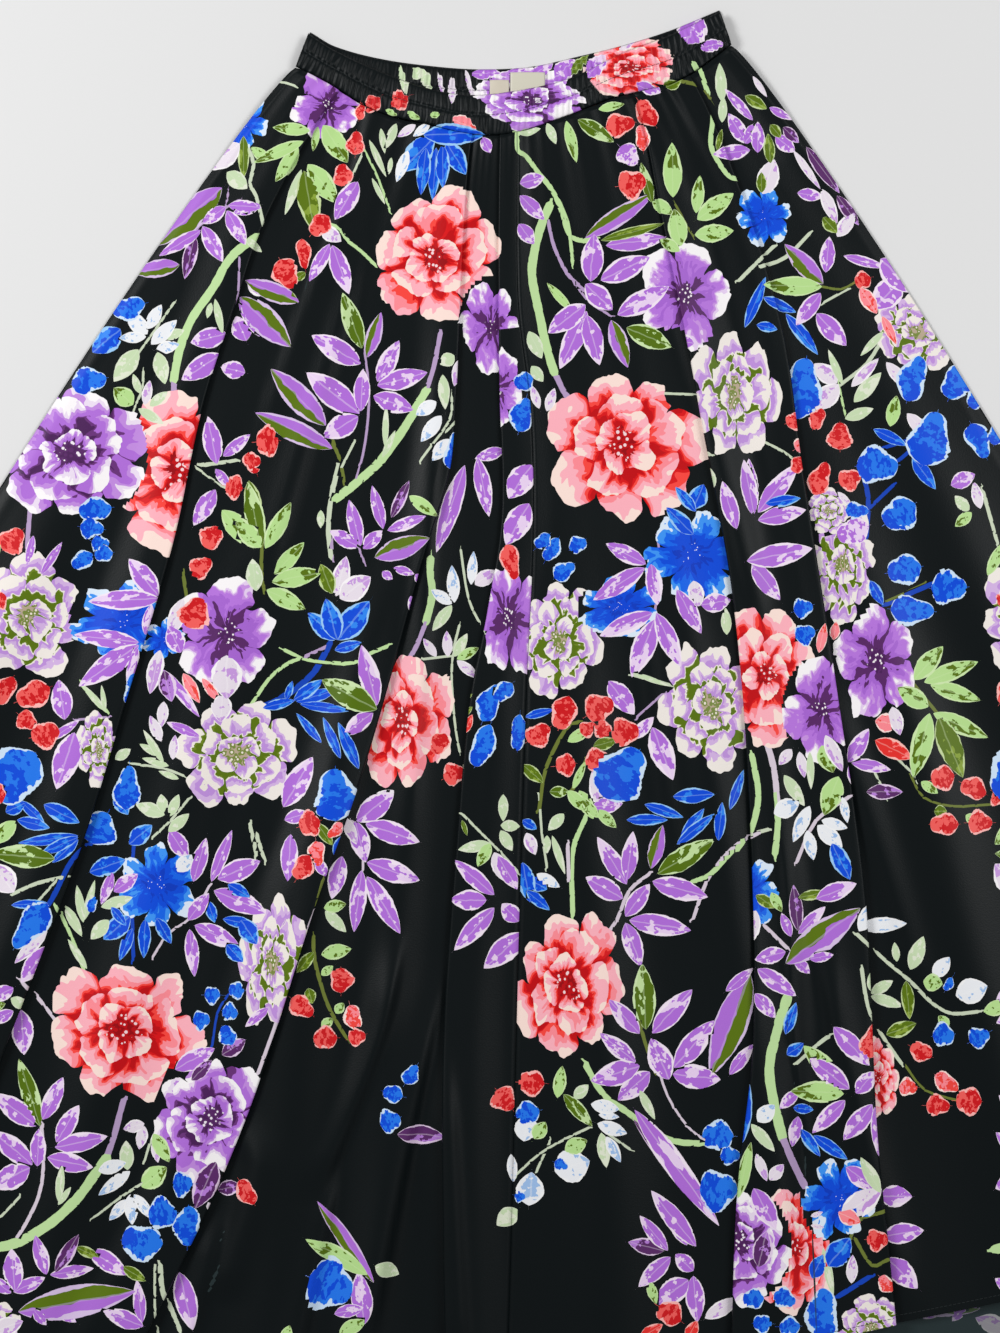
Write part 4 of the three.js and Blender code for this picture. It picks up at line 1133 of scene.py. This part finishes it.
# Rounded buds and small flowers, in the same way
BUDS = """
Q -105 471 -90 481 12|Q -113 437 -112 455 14|Q -124 413 -122 430 15
Q -147 376 -134 390 16|Q -155 372 -152 349 11|Q -172 356 -162 334 20|Q -83 477 -69 482 16
Q -110 464 -107 478 8|Q 82 458 104 462 17|Q 107 478 120 459 15|C 109 460 111 440 11
V 93 443 106 430 16|Q 92 413 113 417 22|Q -190 214 -173 215 25|Q -196 206 -190 190 14
Q -198 200 -187 198 14|Q -214 180 -201 178 20|Q -230 132 -220 148 18|Q -387 130 -372 145 20
D -302 315 -277 322 18|D -328 160 -303 163 18|D -327 148 -309 146 16|D -318 137 -305 132 14
D -316 126 -302 128 13|D -334 259 -307 264 20|D -37 192 -31 223 19|D 11 258 25 264 15
D 14 222 20 248 18|D 230 232 238 279 30|Q 222 228 234 232 14|Q 243 224 250 240 12
Q 264 208 264 229 19|C 229 208 243 216 15|Q 228 190 234 202 12|Q 244 173 253 198 16
Q 263 183 280 187 17|V 262 140 286 149 20|D 277 195 309 196 28|D 268 161 286 160 13
D 299 150 322 166 26|D 316 246 326 281 22|D 328 196 340 237 32|D 349 248 362 274 24
D 365 242 377 254 16|D 366 228 378 202 18|D 384 212 388 228 14|D -333 117 -318 127 14
Q -240 110 -226 123 16|Q -244 70 -232 92 24|Q -376 12 -351 23 21|Q -392 11 -379 31 16
Q -375 2 -362 -8 15|Q -365 -16 -343 -11 21|D -394 -62 -362 -28 42|D -292 -72 -289 -38 20
D -286 8 -284 34 15|Q -52 -28 -43 -13 15|Q -44 -48 -28 -41 17|D -128 -80 -128 -40 33
D -20 -38 -8 -6 18|D -14 -3 -3 25 18|Q 5 134 11 107 14|D 35 122 45 139 12
D 54 130 66 138 13|D 42 108 57 119 14|D 28 132 38 142 12|Q 45 -9 53 16 20
Q 67 1 87 13 22|Q 21 -19 38 -8 18|Q 43 -38 58 -36 18|Q 87 -16 107 -8 22
Q 62 -12 74 -6 12|Q 75 -4 84 -15 14|Q 66 -36 84 -30 17|D 80 -62 108 -26 40
D 13 -26 15 2 13|D -4 14 9 26 14|D 228 82 242 87 15|D 229 62 244 67 16
D 301 112 327 117 24|D 335 100 362 101 26|D 303 84 337 82 22|Q 334 -49 352 -45 20
Q 358 -51 377 -60 17|Q 383 -58 394 -64 18|Q 386 88 396 94 14|Q 276 338 288 342 14
D -352 -145 -377 -179 21|D -319 -98 -306 -75 27|Q -156 -85 -140 -80 21|C -123 -82 -133 -93 9
C -143 -96 -141 -115 13|Q -158 -125 -148 -107 16|Q -124 -195 -124 -214 18|Q -162 -218 -146 -231 16
C -117 -224 -112 -243 14|Q -145 -249 -127 -249 18|Q -118 -250 -105 -246 14|D -230 -216 -218 -216 14
D -211 -212 -199 -212 14|D -216 -228 -204 -230 14|D -239 -235 -226 -236 15|D -216 -240 -208 -254 14
D -320 -152 -316 -140 8|Q 286 -264 292 -238 19|Q 319 -256 335 -264 15|D 336 -248 352 -246 19
D 364 -252 378 -244 16|D 345 -212 350 -202 7|Q 333 -83 355 -83 17|Q 363 -82 382 -82 18
D -74 -284 -65 -270 12|D -91 -290 -76 -294 14|D -93 -316 -78 -310 18|Q -3 -290 9 -305 19
Q 14 -284 34 -285 20|D 12 -310 30 -306 18|D 42 -346 52 -350 9|D 11 -372 19 -374 9
D 157 -326 181 -326 24|D 171 -342 186 -340 14|D 155 -368 184 -368 32|D 188 -452 204 -450 16
D -273 -386 -251 -384 25|D -254 -362 -239 -362 20|D -294 -406 -262 -408 28|D -243 -410 -242 -379 21
D -148 -433 -116 -448 40|Q -203 -360 -191 -377 15|Q 123 -458 140 -470 19|Q 331 -302 349 -302 16
C 338 -278 355 -290 14|Q 354 -298 373 -298 22|C 310 -288 324 -288 14|Q 284 -405 300 -405 17
C 294 -434 304 -445 12|D 250 -484 250 -443 25|D 212 -446 228 -454 15|D 196 -470 210 -470 15
D 216 -472 232 -472 15
"""

# ---------------------------------------------------------------------------------------------
# Settings a user would change


class SkirtSettings(bpy.types.PropertyGroup):
    """Sizes and colours of the skirt."""

    ground: FloatVectorProperty(
        name="Ground", description="Colour of the cloth between the flowers", subtype="COLOR",
        size=3, min=0, max=1, default=tuple(linear("080F11")[:3]),
    )
    ruche_height: FloatProperty(
        name="Ruche height", description="How far the gathers of the casing stand up", unit="LENGTH",
        default=0.0024, min=0.0, max=0.003, precision=4,
    )
    ruche_pitch: FloatProperty(
        name="Ruche pitch", description="Width of one gather of the casing", unit="LENGTH",
        default=0.0052, min=0.002, max=0.02, precision=4,
    )
    stitch_pitch: FloatProperty(
        name="Stitch pitch", description="Length of one stitch and the space after it", unit="LENGTH",
        default=0.0035, min=0.002, max=0.01, precision=4,
    )


class StageSettings(bpy.types.PropertyGroup):
    """The floor and the light."""

    floor: FloatVectorProperty(
        name="Floor", description="Colour of the floor", subtype="COLOR", size=3, min=0, max=1,
        default=tuple(linear("E3E3E3")[:3]),
    )
    light: FloatProperty(
        name="Light", description="Power of the left light, which the right one follows",
        unit="POWER", default=38.0, min=0,
    )


# ---------------------------------------------------------------------------------------------
# Pieces


class CLOTH_OT_materials(bpy.types.Operator):
    """Makes the print's materials and the node groups they share"""

    bl_idname = "skirt.materials"
    bl_label = "Printed crepe"

    def execute(self, context):
        petal_ring()
        painted_petal()
        ground = context.scene.skirt_settings.ground
        print_material("crepe plain", ground)
        for kind in BLOOM_KINDS:
            print_material(f"crepe {kind}", ground, kind)
        print_material("crepe wrong side", ground, faded=True)
        return {"FINISHED"}


# Where the chart is laid again, as millimetres across and up, and whether it is mirrored: the
# back's right side faces down, so from above its print is seen in a mirror
PLAIN_MOVES = ((0, 0, False), (780, 0, False), (-780, 0, False), (0, -1040, False))
BACK_MOVES = ((0, 0, True), (780, 0, True), (-780, 0, True), (0, -1040, True))


def finish_cloth(piece, strips, fine_count, moves):
    cloth_materials(piece)
    Canvas(piece, strips).print(moves, fine_count)


def home_strips(strips):
    return np.concatenate([strips.ravel(), strips[::2, ::2].ravel()])


class CLOTH_OT_fronts(bpy.types.Operator):
    """Builds the two front gores with their laid folds"""

    bl_idname = "skirt.fronts"
    bl_label = "Front gores"

    def execute(self, context):
        rows = cloth_rows(CLOTH_ROWS)
        for name, side in (("front_left", -1), ("front_right", 1)):
            middle, strips = front_grid(side, rows)
            piece, fine = sheet_shell(f"{name}_gore", middle, WALL)
            finish_cloth(piece, home_strips(strips), fine, PLAIN_MOVES)
            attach(piece, "root")
            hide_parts(name)
        return {"FINISHED"}


class CLOTH_OT_backs(bpy.types.Operator):
    """Builds the two back gores, right side down"""

    bl_idname = "skirt.backs"
    bl_label = "Back gores"

    def execute(self, context):
        rows = cloth_rows(BACK_ROWS)
        for name, side in (("back_left", -1), ("back_right", 1)):
            middle, strips = back_grid(side, rows, BACK_COLUMNS)
            piece, fine = sheet_shell(f"{name}_gore", middle, WALL)
            cloth_materials(piece)
            canvas = Canvas(piece, home_strips(strips))
            canvas.print(BACK_MOVES)
            slots = np.empty(len(piece.data.polygons), np.int32)
            piece.data.polygons.foreach_get("material_index", slots)
            slots[:fine] = len(BLOOM_KINDS) + 1
            piece.data.polygons.foreach_set("material_index", slots)
            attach(piece, "root")
            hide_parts(name)
        return {"FINISHED"}


# How far sideways a ruche carries the print for each millimetre that it stands up
RUCHE_DRIFT = 1.6


def casing_mesh(name, low, high, floor, columns=521, across=25):
    """A closed flat casing between two waist edges, with its places along and across stored."""
    u = np.linspace(0, 1, columns)
    (x0, y0), (x1, y1) = edge(low, u), edge(high, u)
    v = np.linspace(0, 1, across)
    crown = np.clip(np.sin(math.pi * v), 0, 1) ** 0.5
    top = 0.7 + 1.3 * crown
    under = 0.7 - 0.7 * crown[::4]
    ring_v = np.concatenate([v, v[::4][::-1][1:-1]])
    ring_z = np.concatenate([top, under[::-1][1:-1]])
    face_up = np.concatenate([crown, np.zeros(len(ring_v) - across)])
    x = x0[:, None] + (x1 - x0)[:, None] * ring_v + OFFSET[0]
    y = y0[:, None] + (y1 - y0)[:, None] * ring_v + OFFSET[1]
    points = np.stack([x, y, floor + np.broadcast_to(ring_z, x.shape)], axis=-1)
    sides = len(ring_v)
    at = np.arange(columns * sides).reshape(columns, sides)
    after = np.roll(at, -1, axis=1)
    quads = np.stack([at[:-1], at[1:], after[1:], after[:-1]], axis=-1).reshape(-1, 4).tolist()
    faces = quads + [at[0].tolist()[::1], at[-1].tolist()[::-1]]
    piece = add_mesh(name, points.reshape(-1, 3), faces)
    run = np.cumsum(np.hypot(np.diff(x0, prepend=x0[0]), np.diff(y0, prepend=y0[0])))
    for label, values in (
        ("along", np.repeat(run, sides)), ("across", np.tile(ring_v, columns)),
        ("proud", np.tile(face_up, columns)),
    ):
        attribute = piece.data.attributes.new(label, "FLOAT", "POINT")
        attribute.data.foreach_set("value", values.astype(np.float32))
    return piece


def ruched_casing():
    """Geometry nodes that gather a casing into ruches either side of its middle stitching."""
    tree = bpy.data.node_groups.new("ruched casing", "GeometryNodeTree")
    tree.interface.new_socket("Geometry", in_out="INPUT", socket_type="NodeSocketGeometry")
    for label in ("Height", "Pitch", "Seed"):
        tree.interface.new_socket(label, in_out="INPUT", socket_type="NodeSocketFloat")
    tree.interface.new_socket("Material", in_out="INPUT", socket_type="NodeSocketMaterial")
    tree.interface.new_socket("Geometry", in_out="OUTPUT", socket_type="NodeSocketGeometry")
    given = node(tree, "NodeGroupInput").outputs
    known = {"height": given["Height"], "pitch": given["Pitch"], "seed": given["Seed"]}
    for label in ("along", "across", "proud"):
        known[label] = node(tree, "GeometryNodeInputNamedAttribute", {"Name": label},
                            data_type="FLOAT").outputs[0]
    maths(tree, known, """
        millimetres MULTIPLY pitch 1000
        count DIVIDE along millimetres
        upper GREATER_THAN across 0.5
        jog MULTIPLY_ADD upper 0.6 seed
        slow MULTIPLY count 0.3
    """)
    at = node(tree, "ShaderNodeCombineXYZ", {0: known["slow"], 1: known["across"], 2: known["jog"]})
    gathers = node(tree, "ShaderNodeTexNoise", {"Vector": at.outputs[0], "Scale": 1.25, "Detail": 1.0})
    known["gathers"] = gathers.outputs[0]
    maths(tree, known, """
        turns MULTIPLY count 6.2832
        phase MULTIPLY_ADD gathers 9 turns
        wave SINE phase
        uneven MULTIPLY_ADD gathers 1.3 -0.1
        swell MULTIPLY_ADD wave 0.5 0.5
        ridge MULTIPLY swell uneven
        middle SUBTRACT across 0.5
        off ABSOLUTE middle
        near DIVIDE off 0.035
        near2 MULTIPLY near near
        near3 MULTIPLY near2 -1
        groove EXPONENT near3
        open SUBTRACT 1 groove
        lift0 MULTIPLY ridge height
        lift1 MULTIPLY_ADD open 0.75 0.25
        lift2 MULTIPLY lift0 lift1
        sink MULTIPLY groove -0.0005
        lift3 ADD lift2 sink
        lift MULTIPLY lift3 proud
    """)
    up = node(tree, "ShaderNodeCombineXYZ", {2: known["lift"]})
    moved = node(tree, "GeometryNodeSetPosition", {"Geometry": given["Geometry"], "Offset": up.outputs[0]})
    real = node(tree, "GeometryNodeRealizeInstances", {0: moved.outputs[0]})
    clothed = {"Geometry": real.outputs[0], "Material": given["Material"]}
    finished = node(tree, "GeometryNodeSetMaterial", clothed)
    node(tree, "NodeGroupOutput", {0: finished.outputs[0]})
    return tree


def settle(piece, tree, settings):
    """Runs a geometry tree on a piece and keeps the result as a plain mesh."""
    modifier = piece.modifiers.new(tree.name, "NODES")
    modifier.node_group = tree
    for socket in tree.interface.items_tree:
        if socket.in_out == "INPUT" and socket.name in settings:
            modifier[socket.identifier] = settings[socket.name]
    graph = bpy.context.evaluated_depsgraph_get()
    graph.update()
    mesh = bpy.data.meshes.new_from_object(piece.evaluated_get(graph))
    old = piece.data
    piece.modifiers.remove(modifier)
    piece.data = mesh
    bpy.data.meshes.remove(old)
    mesh.name = piece.name
    return piece


class CLOTH_OT_casings(bpy.types.Operator):
    """Builds the ruched elastic casing of the front and of the back waist"""

    bl_idname = "skirt.casings"
    bl_label = "Waist casings"

    def execute(self, context):
        look = context.scene.skirt_settings
        tree = ruched_casing()
        for name, low, high, floor, seed in (
            ("waistband_front", FRONT_BAND_BOTTOM, FRONT_BAND_TOP, FRONT_BAND_FLOOR, 1.0),
            ("waistband_back", BACK_BAND_BOTTOM, BACK_BAND_TOP, 0.0, 7.0),
        ):
            piece = casing_mesh(f"{name}_casing", low, high, floor)
            settle(piece, tree, {"Height": look.ruche_height, "Pitch": look.ruche_pitch, "Seed": seed,
                                 "Material": bpy.data.materials["crepe plain"]})
            piece.data.shade_smooth()
            cloth_materials(piece)
            canvas = Canvas(piece, np.zeros(len(piece.data.vertices)))
            canvas.xy[:, 0] += RUCHE_DRIFT * (canvas.points[canvas.corner, 2] - floor)
            canvas.print(PLAIN_MOVES)
            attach(piece, "root")
            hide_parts(name)
        return {"FINISHED"}


def satin(name, code):
    """Woven satin tape: a smooth cream face with fine cross threads."""
    material = bpy.data.materials.new(name)
    material.use_nodes = True
    tree = material.node_tree
    shader = tree.nodes["Principled BSDF"]
    where = node(tree, "ShaderNodeTexCoord").outputs["Object"]
    threads = node(tree, "ShaderNodeTexWave", {"Vector": where, "Scale": 900.0, "Distortion": 0.6},
                   bands_direction="Y")
    colour = node(tree, "ShaderNodeMix", {0: threads.outputs["Fac"], 6: linear(code),
                                          7: [c * 0.86 for c in linear(code)[:3]] + [1]}, data_type="RGBA")
    tree.links.new(colour.outputs[2], shader.inputs["Base Color"])
    shader.inputs["Roughness"].default_value = 0.45
    shader.inputs["Sheen Weight"].default_value = 0.2
    return material


# Each label: name, colour, left, right, bottom and top in millimetres, and how far its end bows up
LABELS = (
    ("woven_label", "DAD6C4", (8, 35, 462, 494), 0.8),
    ("care_label", "D9D0BE", (-8, 7, 458, 488), 1.4),
)
LABEL_HEIGHT = 3.75
LABEL_WALL = 0.35


class CLOTH_OT_labels(bpy.types.Operator):
    """Builds the plain woven label and the care label's loop, both without any text"""

    bl_idname = "skirt.labels"
    bl_label = "Labels"

    def execute(self, context):
        for name, code, (x0, x1, y0, y1), curl in LABELS:
            x = np.linspace(x0, x1, 17) + OFFSET[0]
            y = np.linspace(y0, y1, 25) + OFFSET[1]
            grid_x, grid_y = np.meshgrid(x, y)
            bow = np.sin(np.linspace(0, math.pi, 17))[None, :] * np.linspace(0, 1, 25)[:, None] ** 2
            middle = np.stack([grid_x, grid_y, LABEL_HEIGHT + curl * bow], axis=-1)
            piece, _ = sheet_shell(f"{name}_tape", middle[::-1], LABEL_WALL)
            piece.data.materials.append(satin(f"{name} satin", code))
            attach(piece, "root")
            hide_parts(name)
        return {"FINISHED"}


def stitch_run():
    """Geometry nodes that lay short thread stitches along a line."""
    tree = bpy.data.node_groups.new("stitch run", "GeometryNodeTree")
    tree.interface.new_socket("Geometry", in_out="INPUT", socket_type="NodeSocketGeometry")
    for label in ("Pitch", "Thickness"):
        tree.interface.new_socket(label, in_out="INPUT", socket_type="NodeSocketFloat")
    tree.interface.new_socket("Material", in_out="INPUT", socket_type="NodeSocketMaterial")
    tree.interface.new_socket("Geometry", in_out="OUTPUT", socket_type="NodeSocketGeometry")
    given = node(tree, "NodeGroupInput").outputs
    known = {"pitch": given["Pitch"], "thick": given["Thickness"]}
    maths(tree, known, """
        length MULTIPLY pitch 0.7
        half MULTIPLY thick 0.5
    """)
    curve = node(tree, "GeometryNodeMeshToCurve", {"Mesh": given["Geometry"]})
    spaced = node(tree, "GeometryNodeResampleCurve", {"Curve": curve.outputs[0], "Length": given["Pitch"]},
                  mode="LENGTH")
    thread = node(tree, "GeometryNodeMeshCylinder", {"Vertices": 6, "Radius": known["half"],
                                                     "Depth": known["length"]}, fill_type="TRIANGLE_FAN")
    tangent = node(tree, "GeometryNodeInputTangent")
    turn = node(tree, "FunctionNodeAlignEulerToVector", {"Vector": tangent.outputs[0]}, axis="Z")
    laid = node(tree, "GeometryNodeInstanceOnPoints", {
        "Points": spaced.outputs[0], "Instance": thread.outputs[0], "Rotation": turn.outputs[0]})
    real = node(tree, "GeometryNodeRealizeInstances", {0: laid.outputs[0]})
    clothed = {"Geometry": real.outputs[0], "Material": given["Material"]}
    finished = node(tree, "GeometryNodeSetMaterial", clothed)
    node(tree, "NodeGroupOutput", {0: finished.outputs[0]})
    return tree


def thread_line(name, points):
    mesh = bpy.data.meshes.new(name)
    mesh.from_pydata((np.asarray(points) * MM).tolist(), [(i, i + 1) for i in range(len(points) - 1)], [])
    piece = bpy.data.objects.new(name, mesh)
    bpy.context.collection.objects.link(piece)
    return piece


# t of the hem's stitches, about 6 mm above its edge, and how high stitches lie over the casings
HEM_STITCH_AT = 1 - 7.5 / 1300
CASING_STITCH_HEIGHT = 2.2
THREAD = 0.0004


class CLOTH_OT_stitches(bpy.types.Operator):
    """Stitches the front hem and the middle of both casings"""

    bl_idname = "skirt.stitches"
    bl_label = "Stitches"

    def execute(self, context):
        look = context.scene.skirt_settings
        thread = bpy.data.materials.new("black polyester thread")
        thread.use_nodes = True
        shader = thread.node_tree.nodes["Principled BSDF"]
        shader.inputs["Base Color"].default_value = linear("1C2426")
        shader.inputs["Roughness"].default_value = 0.6
        tree = stitch_run()
        lines = {}
        for name, side in (("front_left", -1), ("front_right", 1)):
            grid, _ = front_grid(side, np.array([HEM_STITCH_AT]))
            line = grid[0] + (0, 0, WALL / 2 + 0.12)
            keep = np.concatenate([[True], np.diff(line[:, 0]) > 0.3])
            lines[f"{name}_hem_stitches"] = line[keep]
        u = np.linspace(0.01, 0.99, 200)
        for name, low, high, floor in (
            ("waistband_front", FRONT_BAND_BOTTOM, FRONT_BAND_TOP, FRONT_BAND_FLOOR),
            ("waistband_back", BACK_BAND_BOTTOM, BACK_BAND_TOP, 0.0),
        ):
            (x0, y0), (x1, y1) = edge(low, u), edge(high, u)
            x, y = (x0 + x1) / 2 + OFFSET[0], (y0 + y1) / 2 + OFFSET[1]
            height = np.full(200, floor + CASING_STITCH_HEIGHT)
            lines[f"{name}_stitches"] = np.stack([x, y, height], 1)
        for name, line in lines.items():
            piece = thread_line(name, line)
            settle(piece, tree, {"Pitch": look.stitch_pitch, "Thickness": THREAD, "Material": thread})
            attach(piece, "root")
        return {"FINISHED"}


# ---------------------------------------------------------------------------------------------
# Stage


# Stage, in metres: half the floor's side, and each light's name, place, aim, size and share of
# the power that the settings give
FLOOR_HALF = 4.0
LIGHTS = (
    ("window", (1.7, 0.5, 2.0), (0.1, 0, 0), 1.2, 0.82),
    ("relief", (-1.8, 0.9, 1.6), (-0.1, 0, 0), 0.8, 1.0),
)
ROOM_LIGHT = 0.27
CAMERA_PLACE = (-0.0005, 0.0393, 2.2)


class CLOTH_OT_stage(bpy.types.Operator):
    """Lays the floor, sets a light at either side, and puts the camera straight above"""

    bl_idname = "skirt.stage"
    bl_label = "Stage"

    def execute(self, context):
        scene = context.scene
        look = scene.stage_settings
        material = bpy.data.materials.new("matt paper floor")
        material.use_nodes = True
        shader = material.node_tree.nodes["Principled BSDF"]
        shader.inputs["Base Color"].default_value = [*look.floor, 1]
        shader.inputs["Roughness"].default_value = 0.9
        shader.inputs["Specular IOR Level"].default_value = 0.2
        half = FLOOR_HALF
        corners = [(-half, -half), (half, -half), (half, half), (-half, half)]
        mesh = bpy.data.meshes.new("floor")
        mesh.from_pydata([(x, y, -0.0003) for x, y in corners], [], [(0, 1, 2, 3)])
        floor = bpy.data.objects.new("floor", mesh)
        context.collection.objects.link(floor)
        mesh.materials.append(material)

        for name, place_at, aim, size, share in LIGHTS:
            lamp = bpy.data.lights.new(name, "AREA")
            lamp.energy, lamp.size = look.light * share, size
            light = bpy.data.objects.new(name, lamp)
            light.location = place_at
            light.rotation_euler = (Vector(aim) - Vector(place_at)).to_track_quat("-Z", "Y").to_euler()
            context.collection.objects.link(light)

        world = bpy.data.worlds.new("soft room")
        world.use_nodes = True
        world.node_tree.nodes["Background"].inputs[0].default_value = (1, 1, 1, 1)
        world.node_tree.nodes["Background"].inputs[1].default_value = ROOM_LIGHT
        scene.world = world

        camera = bpy.data.cameras.new("camera")
        camera.sensor_fit, camera.sensor_height, camera.lens = "VERTICAL", 24, 50.8
        eye = bpy.data.objects.new("camera", camera)
        eye.location = CAMERA_PLACE
        context.collection.objects.link(eye)
        scene.camera = eye
        scene.view_settings.view_transform = "Standard"
        return {"FINISHED"}


class CLOTH_PT_skirt(bpy.types.Panel):
    """Lists the skirt's pieces and settings"""

    bl_idname = "CLOTH_PT_skirt"
    bl_label = "Maxi skirt"
    bl_space_type = "VIEW_3D"
    bl_region_type = "UI"
    bl_category = "Maxi skirt"

    def draw(self, context):
        for settings in (context.scene.skirt_settings, context.scene.stage_settings):
            for name in settings.bl_rna.properties.keys():
                if name not in {"rna_type", "name"}:
                    self.layout.prop(settings, name)
        for operator in OPERATORS:
            self.layout.operator(operator.bl_idname)


OPERATORS = (
    CLOTH_OT_materials, CLOTH_OT_fronts, CLOTH_OT_backs, CLOTH_OT_casings, CLOTH_OT_labels,
    CLOTH_OT_stitches, CLOTH_OT_stage,
)
CLASSES = (SkirtSettings, StageSettings, *OPERATORS, CLOTH_PT_skirt)


def register():
    for item in CLASSES:
        bpy.utils.register_class(item)
    bpy.types.Scene.skirt_settings = PointerProperty(type=SkirtSettings)
    bpy.types.Scene.stage_settings = PointerProperty(type=StageSettings)


def unregister():
    del bpy.types.Scene.skirt_settings
    del bpy.types.Scene.stage_settings
    for item in reversed(CLASSES):
        bpy.utils.unregister_class(item)


def main():
    register()
    for operator in OPERATORS:
        section, name = operator.bl_idname.split(".")
        getattr(getattr(bpy.ops, section), name)()


if __name__ == "__main__":
    main()
